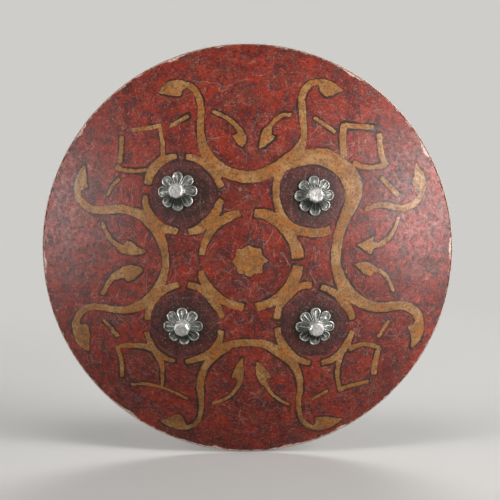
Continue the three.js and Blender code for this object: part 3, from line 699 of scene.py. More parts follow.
# The ornament, read from the picture. Each stroke is a line of pixels with its widths in pixels, spread
# evenly over the line. Each leaf is an outline in runs: every run goes on to the first point of the next,
# which is a tip or a corner, and the last one back to the first.
strokes = {
    "centreRingUpperLeft": ([(202.5, 255.4), (206.1, 242.6), (211.7, 232.8), (220.2, 223), (230, 215.9),
        (240.5, 213.1)], [7.5, 9, 10.5, 10.5, 9, 6.6]),
    "centreRingUpperRight": ([(254.6, 213.1), (265.5, 214.6), (276.9, 221.5), (284.5, 232), (291.4, 242),
        (296.5, 250.5), (297.2, 258.6)], [7, 10, 13, 14, 13, 12.5, 12]),
    "centreRingLowerRight": ([(298.2, 265.7), (296.2, 273.6), (290.5, 284.3), (282, 294.4), (270.5, 301.5),
        (256, 307.6)], [9.5, 11, 14, 13, 11, 9]),
    "centreRingLowerLeft": ([(200.9, 270.8), (203.1, 279.6), (209, 288.4), (219.2, 297.2), (231, 303.1),
        (243.4, 308.2)], [5.5, 7.5, 9.5, 10, 9.5, 8.5]),
    "upperLeftRingUpperRight": ([(186.2, 156.6), (194.3, 158.1), (204.6, 164), (213.4, 172), (219.2, 182.3),
        (221.4, 187.4)], [5.5, 6.2, 7, 7, 6.8, 6]),
    "upperLeftRingUpperLeft": ([(176.7, 156.2), (167.2, 158.1), (159.1, 162.5), (153.2, 169.1),
        (149.6, 176.4), (147.8, 184.5)], [5, 6.5, 8.8, 9, 8, 7]),
    "upperLeftRingLowerLeft": ([(145.2, 195.5), (145.9, 204.3), (149.6, 213.8), (155.4, 222.6),
        (163.5, 228.5), (170.8, 230), (177.4, 232.2)], [5, 6, 8, 9, 8.5, 7, 6.5]),
    "upperLeftRingLowerRight": ([(188.4, 232.2), (198.7, 229.2), (208.2, 221.2), (215.6, 212.4),
        (219.2, 204.3), (222.2, 199.9)], [6, 8, 9, 9, 7, 6]),
    "topU": ([(186.5, 84.6), (192.8, 88.2), (198, 95.7), (200.6, 104.5), (200.9, 116.3), (200.6, 128),
        (201.3, 139.8), (204.6, 150), (211.2, 161), (220.7, 169.1), (232.4, 174.2), (248.2, 177),
        (262, 174.8), (278.1, 167.6), (289.9, 160.3), (297.9, 151.5), (302.3, 142.7), (303.8, 133.9),
        (303.1, 122.1), (302.3, 108.9), (301.6, 98.7), (304.5, 89.9), (310.4, 84), (318, 82)], [6, 6.2, 6.6,
        6.6, 6.6, 7, 8, 10, 12, 12.5, 11, 11.5, 11.5, 12, 14.5, 11.5, 7.5, 6.6, 6.6, 7, 7, 6.8, 6.4, 6]),
    "leftU": ([(76.5, 190.4), (79, 197.5), (85, 205), (93.1, 209.4), (104.8, 210.2), (118, 208.7),
        (131.2, 210.9), (141.5, 215.3), (148.8, 221.9), (156.2, 230.7), (161.3, 239.5), (164.2, 249.8),
        (165.5, 259.4), (165.7, 265), (164.2, 273.7), (160.6, 284), (154, 294.3), (147.3, 301.6),
        (137.1, 306.7), (126.8, 309.7), (115.1, 309.7), (103.3, 307.5), (93.1, 306.7), (84.3, 309.7),
        (78.4, 316.3), (75.6, 323.5)], [6.6, 6.8, 7.5, 8, 8.2, 8.2, 8.5, 9, 9.5, 10, 9, 8, 7, 6.8, 7.4, 9,
        11, 11, 9.5, 7.2, 6.6, 6.6, 6.8, 7, 7, 6.6]),
    "upperLeftFrameCorner": ([(162.8, 155.9), (162.5, 142.7), (161, 133.9), (159.8, 125.8)], [4.4, 4.1, 4]),
    "upperLeftFrameTop": ([(161, 125.6), (145.9, 128.7), (131.2, 130.2)], [4, 4.4, 4]),
    "upperLeftFrameLeft": ([(121.6, 136.1), (121.2, 148.6), (119.5, 163)], [4, 4.6, 4.4]),
    "upperLeftFrameBottom": ([(115.8, 166.6), (123.9, 170.1), (135.6, 171), (147, 169.8)], [6, 4, 3.3,
        3.5]),
    "upperLeftDashUpper": ([(169.4, 127.3), (179, 121), (189.2, 115.5)], [3.2, 4, 3.9]),
    "upperLeftDashLower": ([(119.4, 178.6), (113, 186), (107, 195.5)], [3.2, 2.8, 3.2]),
    "topULeftSprig": ([(212.6, 111.1), (220.7, 114.8), (229.5, 119.9), (236.8, 126.5), (241.2, 132.8)],
        [3.5, 3.8, 4.2, 4.5, 5]),
    "topURightSprig": ([(291.3, 114.8), (282.5, 115.5), (275.2, 119.9), (269.6, 127.5)], [3.6, 4, 4.2,
        4.4]),
    "leftUUpperSprig": ([(101.9, 221.9), (105.5, 230.7), (110.7, 239.5), (119, 246.8)], [3.6, 4, 4.2, 4.6]),
    "leftULowerSprig": ([(101.9, 295), (106.3, 286.9), (111, 279.6), (115.5, 275.5)], [4.2, 4.5, 5, 6]),
    "upperRightRingTop": ([(283.5, 167), (292, 162), (305.7, 157.3), (315.7, 156.4), (325.3, 157.5),
        (332.7, 161), (337.5, 164.1), (345.8, 171.6), (351.4, 180.2), (353.5, 187.3), (353.6, 195.7),
        (350.6, 205.2), (344.9, 217.5), (340.5, 229.2), (337.6, 241), (336, 252.7), (335.7, 260),
        (336.1, 265), (338.3, 273.7), (342.7, 284), (350, 294.3), (358.8, 300.9), (369.1, 305.3),
        (380.8, 307.5), (394, 306), (405.8, 306), (414.6, 311.1), (419.5, 318)], [9, 12, 14.7, 15.6, 17, 17,
        17, 18, 18.6, 18, 16, 13.3, 11, 10, 10, 9.6, 9.5, 9.5, 10, 12.6, 12, 11, 10, 9.5, 9, 9, 8.8, 8.6]),
    "upperRightRingLeft": ([(283, 168), (276.8, 180.8), (275.9, 192.6), (277.4, 204.3), (281.8, 216),
        (289.9, 226.3), (300.1, 230.7), (313.3, 232.9), (323.6, 232.2), (330.6, 229.8)], [8, 6.8, 6.6, 6.8,
        8, 9.5, 9, 8.5, 8.5, 8.4]),
    "upperRightFrameLeft": ([(344.3, 157), (342.7, 139.8), (343.4, 128.5), (344.6, 124.4)], [6.6, 6.6,
        6.2]),
    "upperRightFrameTop": ([(343.5, 125.6), (360.3, 126.5), (374.4, 127.7)], [5.5, 5.2, 5]),
    "upperRightFrameRight": ([(379.3, 133.2), (380.1, 145.6), (382.3, 157.4), (385.6, 165.2)], [5.6, 6,
        6.4]),
    "upperRightFrameBottom": ([(353, 162.6), (360.3, 166), (370.6, 167.4), (380.8, 166), (387, 165)], [5.4,
        4.8, 4.8, 4.8, 4.4]),
    "upperRightDashUpper": ([(314.1, 117.7), (325, 124.6), (335.4, 132.4)], [3.3, 3.4, 3.4]),
    "upperRightDashLower": ([(380.8, 177), (390, 187), (398.4, 195.5)], [5, 4.8, 4.8]),
    "upperRightTendril": ([(423.9, 189), (419.7, 197), (413.1, 204.3), (404.3, 208), (394, 207.2),
        (383.8, 205), (373.5, 206.2), (364.7, 210.2)], [5, 6, 6.4, 6.4, 6.4, 6, 5.4, 4]),
    "rightUUpperSprig": ([(398.4, 216.8), (395.5, 226.3), (389.6, 236.6), (380.8, 243.9), (377, 245.6)],
        [3.4, 3.8, 4.2, 4.6, 4.8]),
    "rightULowerSprig": ([(393.6, 291.6), (390.4, 284), (385.2, 275.2), (378.5, 270)], [3.2, 3.6, 3.8,
        4.2]),
    "lowerLeftRingUpperLeft": ([(179.4, 284.5), (169.4, 287.7), (160.6, 292.8), (153.2, 301.6),
        (148.8, 310.4), (147.2, 320)], [6, 6.6, 7, 7, 6.6, 6.4]),
    "lowerLeftRingUpperRight": ([(187.8, 284.5), (198.7, 287.7), (207.5, 294.3), (214.8, 303.1),
        (220, 311.9), (222.2, 318)], [6, 7, 8.4, 8.4, 6.4, 5]),
    "lowerLeftRingLowerLeft": ([(146.4, 332), (149.6, 341.2), (154.7, 350), (162, 355.9), (169.4, 359.6),
        (175.2, 361)], [5, 5.6, 7, 5.4, 4.4, 4]),
    "lowerLeftRingLowerRight": ([(221, 330.4), (219.2, 341.2), (211.9, 351.5), (201.6, 357.4),
        (192.8, 360.3), (185.6, 362)], [5.6, 6.4, 8, 7, 5.8, 4.6]),
    "lowerLeftFrameTop": ([(151.8, 347.6), (141.5, 345.8), (131.2, 345.3), (121, 346.4), (116.6, 348.6)],
        [7, 5.4, 4.8, 4.6, 4.4]),
    "lowerLeftFrameLeft": ([(117.4, 348), (121, 358.8), (122.1, 367.6), (121.7, 377)], [4.2, 4.2, 4, 4]),
    "lowerLeftFrameRight": ([(155.6, 351.8), (161.3, 363.2), (162.5, 373.5), (162, 386.7)], [7.5, 5, 3.8,
        3]),
    "lowerLeftFrameBottom": ([(131.2, 384.7), (141.5, 383.8), (153.2, 385.2), (165, 388.2), (175.2, 392.6),
        (188, 398.8)], [3, 3.6, 3.4, 3, 2.8, 3.2]),
    "lowerLeftDash": ([(103.3, 319.2), (110.7, 327.3), (117.3, 337)], [2.8, 3.6, 5]),
    "bottomU": ([(187, 427.6), (194.3, 424.6), (199.4, 417.5), (201.4, 407.2), (200.9, 395.5),
        (200.2, 383.8), (203.1, 372), (208.2, 362.5), (216.3, 353.7), (225.1, 347.1), (235.4, 343.6),
        (246, 342.8), (256, 343), (266.4, 344.9), (278.1, 351.5), (288.4, 358.8), (295.7, 367.6),
        (299.4, 377.9), (300.1, 388.2), (298.7, 398.4), (298.7, 408.7), (301.6, 419), (308.9, 426),
        (317, 428.2)], [4.6, 4.8, 4.5, 5, 6.4, 7.8, 7.2, 7, 9.4, 9.4, 7.4, 7.4, 7.2, 8.4, 10.4, 9.6, 7.8,
        6.8, 5.6, 5, 5, 5, 5, 5]),
    "bottomULeftSprig": ([(239.4, 383.6), (233.9, 392.2), (225.1, 399.2), (212.6, 403.6)], [4.6, 3.6, 3.4,
        3]),
    "bottomURightSprig": ([(264.7, 383.6), (272.3, 394), (282.5, 401.4), (290, 405)], [4.6, 3.4, 3, 2.8]),
    "lowerRightRingUpperLeft": ([(311.9, 285.3), (303.1, 285.5), (294.3, 289.9), (285.5, 298.7),
        (278.9, 307.5), (276.6, 319)], [6.6, 7.4, 7.8, 7.6, 7, 6.6]),
    "lowerRightRingUpperRight": ([(321, 286.7), (330.9, 290.6), (339.8, 297.2), (346.4, 306),
        (350.8, 313.3), (352.2, 319.6)], [5, 6.4, 8, 8, 6.6, 5.6]),
    "lowerRightRingLowerLeft": ([(277.4, 328), (278.9, 336.8), (284, 345.6), (291.3, 354.4), (300.1, 360.3),
        (310.2, 362.7)], [6, 6.6, 7.4, 7.8, 6.6, 5.4]),
    "lowerRightRingLowerRight": ([(353, 331.2), (348.5, 341.2), (342.7, 350), (335.4, 357.4), (328, 361),
        (321.6, 362.7)], [5.6, 6.4, 7.6, 6.6, 5.8, 4.8]),
    "lowerRightFrameTop": ([(349, 348.8), (358.8, 344.8), (367.6, 344.4), (379.8, 347.8)], [6, 4.6, 4.4,
        4]),
    "lowerRightFrameRight": ([(379.2, 347.8), (375.7, 358.8), (374.2, 367.6), (373.7, 374.6)], [5, 5.8, 6,
        6]),
    "lowerRightFrameLeft": ([(340.6, 354.6), (337.6, 367.6), (337.6, 379.4), (339.4, 389)], [6, 4.4, 4, 4]),
    "lowerRightFrameBottom": ([(338.2, 390.2), (351.5, 385.2), (369.1, 381.4)], [4.2, 4.2, 4]),
    "lowerRightDashUpper": ([(389.8, 319.6), (384, 328), (377.7, 337.2)], [3.4, 3.8, 3.4]),
    "lowerRightDashLower": ([(328, 390.2), (319.6, 395), (311.1, 400)], [3.2, 3.2, 3]),
}
leaves = {
    "topULeftHead": [[(158.5, 93.2), (163.1, 85.5), (170.2, 80.9), (180.4, 79.9)], [(188, 83.2),
        (187.4, 87.6)], [(185, 88.8), (182.4, 90.6)], [(180.9, 95.6), (175.3, 96), (166.1, 95)]],
    "topURightHead": [[(343.9, 91), (337, 85), (331.2, 81.5), (322, 79.2)], [(315, 80), (316, 84.6)],
        [(318.5, 85.6), (320.4, 91)], [(326.1, 97), (335.1, 93.8)]],
    "leftUUpperHead": [[(84.7, 163.6), (79.4, 171.2), (75.3, 180.4)], [(73.2, 189), (77, 193.4)],
        [(80.6, 191.4), (82.5, 189.4)], [(87.8, 188.3), (86.9, 180.4), (85.7, 170.2)]],
    "leftULowerHead": [[(71.9, 324), (74.4, 338), (79.5, 345.7)], [(89.4, 351.8), (90, 339.3),
        (89.2, 328.2), (86.2, 324)], [(81.5, 325.5), (78.6, 321.6), (72.6, 321)]],
    "rightUpperHead": [[(415.7, 161.8), (414.1, 175.2), (412.2, 184.1), (415.5, 188.8)], [(419.2, 190.5),
        (422.4, 192)], [(426.2, 190), (426.8, 184.1), (425, 176.5), (420.5, 168.8)]],
    "rightLowerHead": [[(407.8, 326.3), (411, 337)], [(410.7, 348.2), (418.5, 342), (422.8, 333.9),
        (424, 325)], [(422.4, 316)], [(416, 318.6), (412.5, 324.5)]],
    "bottomULeftHead": [[(159.6, 420.4), (168.8, 417.5), (175.2, 414.3), (181.6, 415.6)], [(185.8, 424)],
        [(189, 425.4)], [(190, 429.4), (182.9, 429.6), (173.9, 428.2), (165, 424.5)]],
    "bottomURightHead": [[(314.4, 417.6), (325, 416.4), (335.4, 417.6)], [(343.4, 417.8), (337, 423.4),
        (331, 426.9), (320.7, 430)], [(313.6, 429.8)], [(313, 426), (315.4, 422.6)]],
    "topULeftLeaf": [[(238.8, 133)], [(231.8, 136), (236.3, 142.5)], [(243.4, 147.8), (246.2, 141),
        (245.9, 135.4)], [(243, 130.8)]],
    "topURightLeaf": [[(268.4, 124.6), (262.8, 130.5), (260.6, 138)], [(258.9, 149.2), (267, 144.9),
        (272.5, 140)], [(275, 136.8), (271.5, 134.2)], [(271.8, 128)]],
    "leftUUpperLeaf": [[(119.6, 243.6)], [(123.8, 245.4)], [(126.8, 240.2), (132.7, 242.6), (138.5, 247.4)],
        [(147.2, 251.4), (135.6, 255.3), (123.9, 253.8)], [(116.6, 249)]],
    "leftULowerLeaf": [[(112.5, 275.4), (117.8, 270), (129.3, 265), (140.8, 267.7)], [(142.6, 271),
        (135.7, 277.8)], [(128, 281.8), (125.5, 278.9), (121.6, 277.8)], [(117, 280.4)]],
    "rightUUpperLeaf": [[(356.8, 245.4), (366, 240.3)], [(374, 236), (373, 241)], [(378, 242.8)],
        [(378.6, 247.6), (373.6, 248.8)], [(370.6, 254), (364, 249.9)]],
    "rightULowerLeaf": [[(353.8, 263.8), (364.7, 261.6), (373.7, 265.2)], [(380.4, 270.4), (377.6, 273.4)],
        [(373.8, 272)], [(370.6, 276.6), (362, 271.8)]],
    "bottomULeftLeaf": [[(242.8, 356.6), (235.3, 367)], [(231.2, 378.2), (236, 378.4)], [(237.4, 385)],
        [(242.2, 384), (244.2, 372)]],
    "bottomURightLeaf": [[(257.4, 361), (255.5, 367), (256.5, 376.4)], [(262, 385.4)], [(267, 383.8),
        (266.2, 379.2)], [(272.2, 378.2), (265.7, 369)]],
}
star = {
    "middle": (249.4, 261.1),
    "tips": [19.6, 17.2, 15.6, 18.6, 17.4, 17.6, 16.2, 18.2],
    "valley": 13.9,
    "firstTip": 2.0,  # degrees
}
# Round places: their middles and radii in pixels
fields = {
    "upperLeft": ((184.7, 194.5), 33.7),
    "upperRight": ((312.4, 196.6), 32.6),
    "lowerLeft": ((184.4, 324.7), 33.0),
    "lowerRight": ((314.2, 324.3), 32.8),
}
centreCircle = ((248.2, 260.8), 42.0)
# Where the rim is chipped: a pixel on it, and half the chip's width
rimChips = [(341, 430, 5), (130, 414, 7), (290, 449, 9), (352, 76, 8), (412, 158, 10), (88, 137, 6),
            (452, 247, 9), (43, 262, 8), (214, 457, 5), (176, 62, 6)]
farPaint = 9 * mm  # distances to the paint are held at this
farField = 60 * mm  # and those to a maroon field at this


def smoothLine(points, steps=6):
    # A smooth line through the points: each stretch, from p1 to p2, is the cubic whose slopes at its ends
    # are half of p2 - p0 and half of p3 - p1.
    points = np.asarray(points, float)
    if len(points) < 3:
        return points
    ends = np.concatenate([2 * points[:1] - points[1:2], points, 2 * points[-1:] - points[-2:-1]])
    p0, p1, p2, p3 = (ends[k : len(ends) - 3 + k, None] for k in range(4))
    t = (np.arange(steps) / steps)[None, :, None]
    line = 0.5 * (2 * p1 + (p2 - p0) * t + (2 * p0 - 5 * p1 + 4 * p2 - p3) * t**2
                  + (3 * p1 - p0 - 3 * p2 + p3) * t**3)
    return np.concatenate([line.reshape(-1, points.shape[1]), points[-1:]])


def strokeDistance(place, line, radii):
    # Distance from each place to a stroke of changing radius, negative inside: over each stretch it is
    # the distance to the stretch less the radius there. Both ends are cut off square: near an end it is
    # no less than the distance past that end.
    start, along = line[:-1], np.diff(line, axis=0)
    length = np.linalg.norm(along, axis=1)
    way = along / length[:, None]
    offset = place[:, None] - start[None]
    reach = np.einsum("pij,ij->pi", offset, way)
    aside = np.abs(offset[..., 0] * way[:, 1] - offset[..., 1] * way[:, 0])
    over = np.maximum(np.maximum(-reach, reach - length), 0)
    radius = radii[:-1] + (radii[1:] - radii[:-1]) * np.clip(reach / length, 0, 1)
    distance = (np.hypot(aside, over) - radius).min(1)
    first = (line[0], radii[0], -reach[:, 0])
    last = (line[-1], radii[-1], reach[:, -1] - length[-1])
    for end, size, beyond in (first, last):
        away = np.linalg.norm(place - end, axis=1)
        close = 1 - smoothStep(away, 2.2 * size, 3.6 * size)
        distance = np.maximum(distance, beyond * close - 20 * size * (1 - close))
    return distance


def outlineDistance(place, outline):
    # Distance to a closed outline, negative inside: the nearest edge, signed by how often a line from
    # the place to the right crosses the outline.
    tiny = 1e-12
    along = np.roll(outline, -1, 0) - outline
    squared = np.maximum(np.sum(along**2, 1), tiny)
    offset = place[:, None] - outline[None]
    t = np.clip(np.einsum("pij,ij->pi", offset, along) / squared, 0, 1)
    distance = np.linalg.norm(offset - t[..., None] * along, axis=2).min(1)
    startHeight, endHeight = outline[:, 1], (outline + along)[:, 1]
    spans = (startHeight[None] > place[:, 1:]) != (endHeight[None] > place[:, 1:])
    rise = np.where(along[:, 1] == 0, tiny, along[:, 1])
    crossing = outline[:, 0] + (place[:, 1:] - startHeight) * along[:, 0] / rise
    inside = np.sum(spans & (place[:, :1] < crossing), 1) % 2 == 1
    return np.where(inside, -distance, distance)


def near(place, line, margin):
    # Indices of the places within the line's box and a margin round it.
    least, most = line.min(0) - margin, line.max(0) + margin
    return np.nonzero(((place > least) & (place < most)).all(1))[0]


def starOutline():
    # Tips and valleys by turns, evenly round the middle
    reach = np.empty(2 * len(star["tips"]))
    reach[0::2], reach[1::2] = star["tips"], star["valley"]
    turn = math.radians(star["firstTip"]) + onceRound(len(reach))
    return np.array(star["middle"]) + compass(-turn) * reach[:, None]


def paintDistance(place):
    # The attribute paint: the least distance to any stroke, leaf or the star, in metres.
    distance = np.full(len(place), farPaint)
    for points, widths in strokes.values():
        line = smoothLine(ontoDome(points))
        given = np.linspace(0, 1, len(widths))
        radii = np.interp(np.linspace(0, 1, len(line)), given, widths) * pixel / 2
        index = near(place, line, farPaint + radii.max())
        distance[index] = np.minimum(distance[index], strokeDistance(place[index], line, radii))
    # The centre ring's inner edge is a true circle
    middle, radius = centreCircle
    inside = radius * pixel - np.linalg.norm(place - ontoDome([middle])[0], axis=1)
    distance = np.where(inside > -farPaint, np.maximum(distance, inside), distance)
    outlines = [starOutline()]
    for runs in leaves.values():
        closed = [run + after[:1] for run, after in zip(runs, runs[1:] + runs[:1])]
        outlines.append(np.concatenate([smoothLine(run)[:-1] for run in closed]))
    for outline in outlines:
        line = ontoDome(outline)
        index = near(place, line, farPaint)
        distance[index] = np.minimum(distance[index], outlineDistance(place[index], line))
    return distance


def fieldDistance(place):
    # The attribute disc: distance to the nearest maroon field round a boss, in metres, negative inside.
    distance = np.full(len(place), farField)
    for middle, radius in fields.values():
        centre = ontoDome([middle])[0]
        distance = np.minimum(distance, np.linalg.norm(place - centre, axis=1) - radius * pixel)
    return distance


def squareToDisc(cells):
    # A square grid laid on the unit disc so that its rings stay even: a point's radius is the larger
    # of its two coordinates, and its angle is the smaller over the larger times an eighth of a turn.
    side = np.linspace(-1, 1, cells + 1)
    u, v = np.meshgrid(side, side)
    wide = np.abs(u) >= np.abs(v)
    large = np.where(wide, u, v)
    small = np.where(wide, v, u)
    turn = math.pi / 4 * small / np.where(large == 0, 1, large)
    x = np.where(wide, large * np.cos(turn), large * np.sin(turn))
    z = np.where(wide, large * np.sin(turn), large * np.cos(turn))
    return x, z


def border(cells):
    # Indices of a square grid's edge, once round.
    row = cells + 1
    k = np.arange(cells)
    return np.concatenate([k, k * row + cells, cells * row + cells - k, (cells - k) * row])


def onSphere(radius, x, z):
    return np.stack([x, domeCentre[1] - np.sqrt(np.maximum(radius**2 - x**2 - z**2, 0)), z], -1)


def chipWeight(turn):
    # How strongly the rim is chipped at each angle: a bell round each chip's angle.
    weight = np.zeros_like(turn)
    middleX, middleY = view["rimMiddle"]
    for px, py, halfWidth in rimChips:
        gap = turnGap(turn, math.atan2(middleY - py, px - middleX))
        weight = np.maximum(weight, bell(gap * shieldRadius / pixel, halfWidth))
    return weight


def shieldFace():
    # The front: a square grid laid on a disc and lifted onto the outer sphere, with the paint's thickness,
    # a dip round each maroon field, and unevenness that dies out towards the rim.
    x, z = squareToDisc(shield["faceCells"])
    turn = np.arctan2(z, x).reshape(-1)
    angle = (rimAngle - shield["cornerRound"] / domeRadius) * np.hypot(x, z).reshape(-1)
    place = domeRadius * np.sin(angle)[:, None] * compass(turn)
    edge = domeRadius * (rimAngle - angle)
    paint, disc = paintDistance(place), fieldDistance(place)
    points = onSphere(domeRadius, place[:, 0], place[:, 1])
    lift = shield["paintHeight"] * smoothStep(-paint, -shield["paintSlope"], shield["paintSlope"])
    lift += shield["waviness"] * ripple(points, 5, 120 * mm, 25 * mm) * smoothStep(edge, 0, shield["calmRim"])
    lift += shield["grain"] * ripple(points, 6, 9 * mm, 4 * mm, 20)
    fromDip = np.abs(disc + shield["dipInset"])
    lift -= shield["dipDepth"] * smoothStep(-fromDip, -shield["dipWidth"], 0)
    points = points + (points - domeCentre) / domeRadius * lift[:, None]
    return points, turn, {"paint": paint, "disc": disc, "edge": edge, "wear": chipWeight(turn)}


def rimRings(turn, rearRadius):
    # The rim: the rounded front corner, the cut edge and the worn corner behind, as a profile that is
    # carried round through the angles given. Unevenness and chips grow towards the back, but no ring
    # comes closer to the hollow than the next one in.
    rounded, soft = shield["cornerRound"], shield["softCorner"]
    out = np.array([math.cos(rimAngle), math.sin(rimAngle)])
    back = np.array([-math.sin(rimAngle), math.cos(rimAngle)])
    corner = np.array([cornerRadius, rimY])
    centre = corner + rounded * (back - out)
    quarter = np.linspace(0, math.pi / 2, shield["cornerSteps"] + 1)[1:]
    front = centre + rounded * (np.sin(quarter)[:, None] * out - np.cos(quarter)[:, None] * back)
    rear = corner + back * ((rearY - rimY) / math.cos(rimAngle))
    behind = [(front[-1] + rear) / 2, rear - back * soft, rear - [soft, 0], [rearRadius + soft, rearY]]
    profile = np.concatenate([front, behind])
    chips = chipWeight(turn)
    way = np.stack([np.cos(turn), np.zeros_like(turn), np.sin(turn)], -1)
    wobble = shield["edgeWobble"] * (ripple(way * shieldRadius, 9, 160 * mm, 20 * mm) - 1.2)
    wobble += shield["raggedness"] * ripple(way * shieldRadius, 10, 12 * mm, 3 * mm, 24)
    wobble -= shield["chipDepth"] * chips
    strength = np.linspace(0.15, 1, len(profile))
    least = rearRadius + shield["leastStep"] * np.arange(len(profile), 0, -1)
    reach = np.maximum(profile[:, :1] + wobble * strength[:, None], np.minimum(least, profile[:, 0])[:, None])
    return reach[..., None] * way + profile[:, 1, None, None] * np.array([0, 1, 0]), chips


def hollowPoints(rearRadius):
    # The hollow: a square grid on the inner sphere, whose rings crowd towards its edge by the sine of a
    # quarter turn, with shallow dents that die out there.
    x, z = squareToDisc(shield["backCells"])
    share, turn = np.sin(math.pi / 2 * np.hypot(x, z)), np.arctan2(z, x)
    plan = innerRadius * np.sin(math.asin(rearRadius / innerRadius) * share)
    inner = onSphere(innerRadius, plan * np.cos(turn), plan * np.sin(turn)).reshape(-1, 3)
    dents = shield["dents"] * (ripple(inner, 12, 90 * mm, 22 * mm) - 0.8)
    calmed = dents * smoothStep(1 - share.reshape(-1), 0, 0.06)
    return inner + (domeCentre - inner) / innerRadius * calmed[:, None]


def shieldSolid():
    # The dome as one closed surface: face, rim and hollow. The hollow's edge has one point to four of the
    # rim's, so five triangles in a fan close each stretch between them.
    cells, backCells = shield["faceCells"], shield["backCells"]
    points, turn, known = shieldFace()
    rearRadius = math.sqrt(innerRadius**2 - (domeCentre[1] - rearY) ** 2)
    edgeIndex = border(cells)
    rim, chips = rimRings(turn[edgeIndex], rearRadius)
    inner = hollowPoints(rearRadius)
    stations, around = rim.shape[:2]

    count = len(points)
    faces = list(squareFaces(cells))
    rings = np.concatenate([[edgeIndex], count + np.arange(stations * around).reshape(stations, around)])
    after = np.roll(rings, -1, 1)
    band = np.stack([rings[:-1], rings[1:], after[1:], after[:-1]], -1).reshape(-1, 4)
    faces += list(band[:, ::-1])
    innerStart = count + stations * around
    few = border(backCells) + innerStart
    a, b, c, d = rings[-1].reshape(-1, 4).T
    nextFew, nextA = np.roll(few, -1), np.roll(a, -1)
    for fan in ((a, b, few), (b, c, few), (few, c, nextFew), (c, d, nextFew), (d, nextA, nextFew)):
        faces += list(np.stack(fan, -1))
    frontFaces = len(faces)
    faces += list(squareFaces(backCells, innerStart)[:, ::-1])

    piece = makePiece("paintedShield", np.concatenate([points, rim.reshape(-1, 3), inner]), faces)
    rimDepth = -np.linspace(0.3 * mm, 6 * mm, stations)
    onRim = {
        "paint": np.full(stations * around, farPaint),
        "disc": np.full(stations * around, farField),
        "edge": np.repeat(rimDepth, around),
    }
    for name, row in onRim.items():
        storeOnPoints(piece, name, np.concatenate([known[name], row, np.full(len(inner), farField)]) / mm)
    wear = [known["wear"], np.tile(chips, stations), np.zeros(len(inner))]
    storeOnPoints(piece, "wear", np.concatenate(wear))
    outward(piece)
    settle(piece, "shield", "painted_hide", "paintedHide+rawHide", "shield_body")
    slots = np.zeros(len(faces), np.int32)
    slots[(cells * cells + 5 * around) :] = 1  # the cut edge and the hollow are bare hide
    piece.data.polygons.foreach_set("material_index", slots)
    print("shield:", count, "points on its face,", frontFaces, "faces in front and rim")


shieldSolid()


# The corners and the sides: each ring bolt's eye is a joint's place, and each side's hinge line runs
# through its two eyes
ironwork = {
    "shank": 5 * mm,
    "washer": 21 * mm,
    "washerHole": 5.5 * mm,
    "washerThickness": 1.6 * mm,
    "washerSlope": (0.9 * mm, 0.05 * mm),  # in and down, from its rim to its flat top
    "washerSide": 0.7 * mm,
    "washerRound": 0.35 * mm,
    "washerUnder": 0.4 * mm,
    "washerOval": 0.012,
    "washerDents": 0.14 * mm,
    "washerSteps": 72,
    "collar": 11 * mm,
    "collarThickness": 2 * mm,
    "collarSlope": 0.3 * mm,
    "collarRound": 0.6 * mm,
    "eyeWire": 4.4 * mm,
    "eyeHole": 8.8 * mm,
    "eyeSink": 1.4 * mm,
    "eyeSwell": 0.16,  # the eye's wire is thicker where it grows out of the collar
    "ringWire": 3.6 * mm,
    "ringDiameter": 28.4 * mm,
    "ringTilt": math.radians(15),
    "ringGap": 0.45 * mm,
    "ringSteps": 120,
    "weldAt": 2.1,
    "weldWidth": 0.12,
    "weldSwell": 0.07,
    "hammering": 0.05 * mm,
    "seatGap": 0.3 * mm,
    "plateSteps": 18,
    "forgeVoxel": 0.34 * mm,
    "forgeRounds": 6,
}
seatGap = ironwork["seatGap"]
plateDepth = innerRadius * (1 - math.cos(rimAngle / ironwork["plateSteps"]))
washerSeat = shield["thickness"] + seatGap + plateDepth
collarSeat = washerSeat + ironwork["washerThickness"] + seatGap
eyeRadius = (ironwork["eyeHole"] + ironwork["eyeWire"]) / 2
eyeHeight = collarSeat + ironwork["collarThickness"] + eyeRadius
eyeHeight += ironwork["eyeWire"] / 2 - ironwork["eyeSink"]
ringRadius = (ironwork["ringDiameter"] - ironwork["ringWire"]) / 2
ringRoom = ringRadius - (ironwork["ringWire"] + ironwork["eyeWire"]) / 2 - ironwork["ringGap"]
ringStand = eyeRadius * math.cos(ironwork["ringTilt"])
ringStand += math.sqrt(ringRoom**2 - (eyeRadius * math.sin(ironwork["ringTilt"])) ** 2)
ringReach = ringStand + ringRadius
levels = {"upper": 1, "lower": -1}


def sideFrame(side):
    # The hinge line through the two eyes, the way out from it to the grip, and the grip's own axes.
    upper, lower, pivot = (np.array(joints[side + name]["pos_m"], float)
                           for name in ("_ring_swing", "_lower_ring_swing", "_grip_pivot"))
    hinge = unit(upper - lower)
    out = pivot - (upper + lower) / 2
    out = unit(out - (out @ hinge) * hinge)
    axes = np.stack([out, np.cross(hinge, out), hinge])
    return {"upper": upper, "lower": lower, "pivot": pivot, "hinge": hinge, "out": out, "axes": axes}


sides = {side: sideFrame(side) for side in ("left", "right")}


def leaning(side, level):
    # The way a ring is pulled: out * cos(tilt) less hinge * sin(tilt), or plus it at the lower level.
    tilt = ironwork["ringTilt"]
    return sides[side]["out"] * math.cos(tilt) - levels[level] * math.sin(tilt) * sides[side]["hinge"]


def bossAxes(level, side):
    # y runs from the outer face to the back, z is the hinge line made square to it, x = y cross z
    eye, hinge = sides[side][level], sides[side]["hinge"]
    inward = unit(domeCentre - eye)
    up = unit(hinge - (hinge @ inward) * inward)
    return eye - inward * eyeHeight, np.stack([np.cross(inward, up), inward, up])


corners = {f"{level}_{side}": bossAxes(level, side) for level in levels for side in sides}


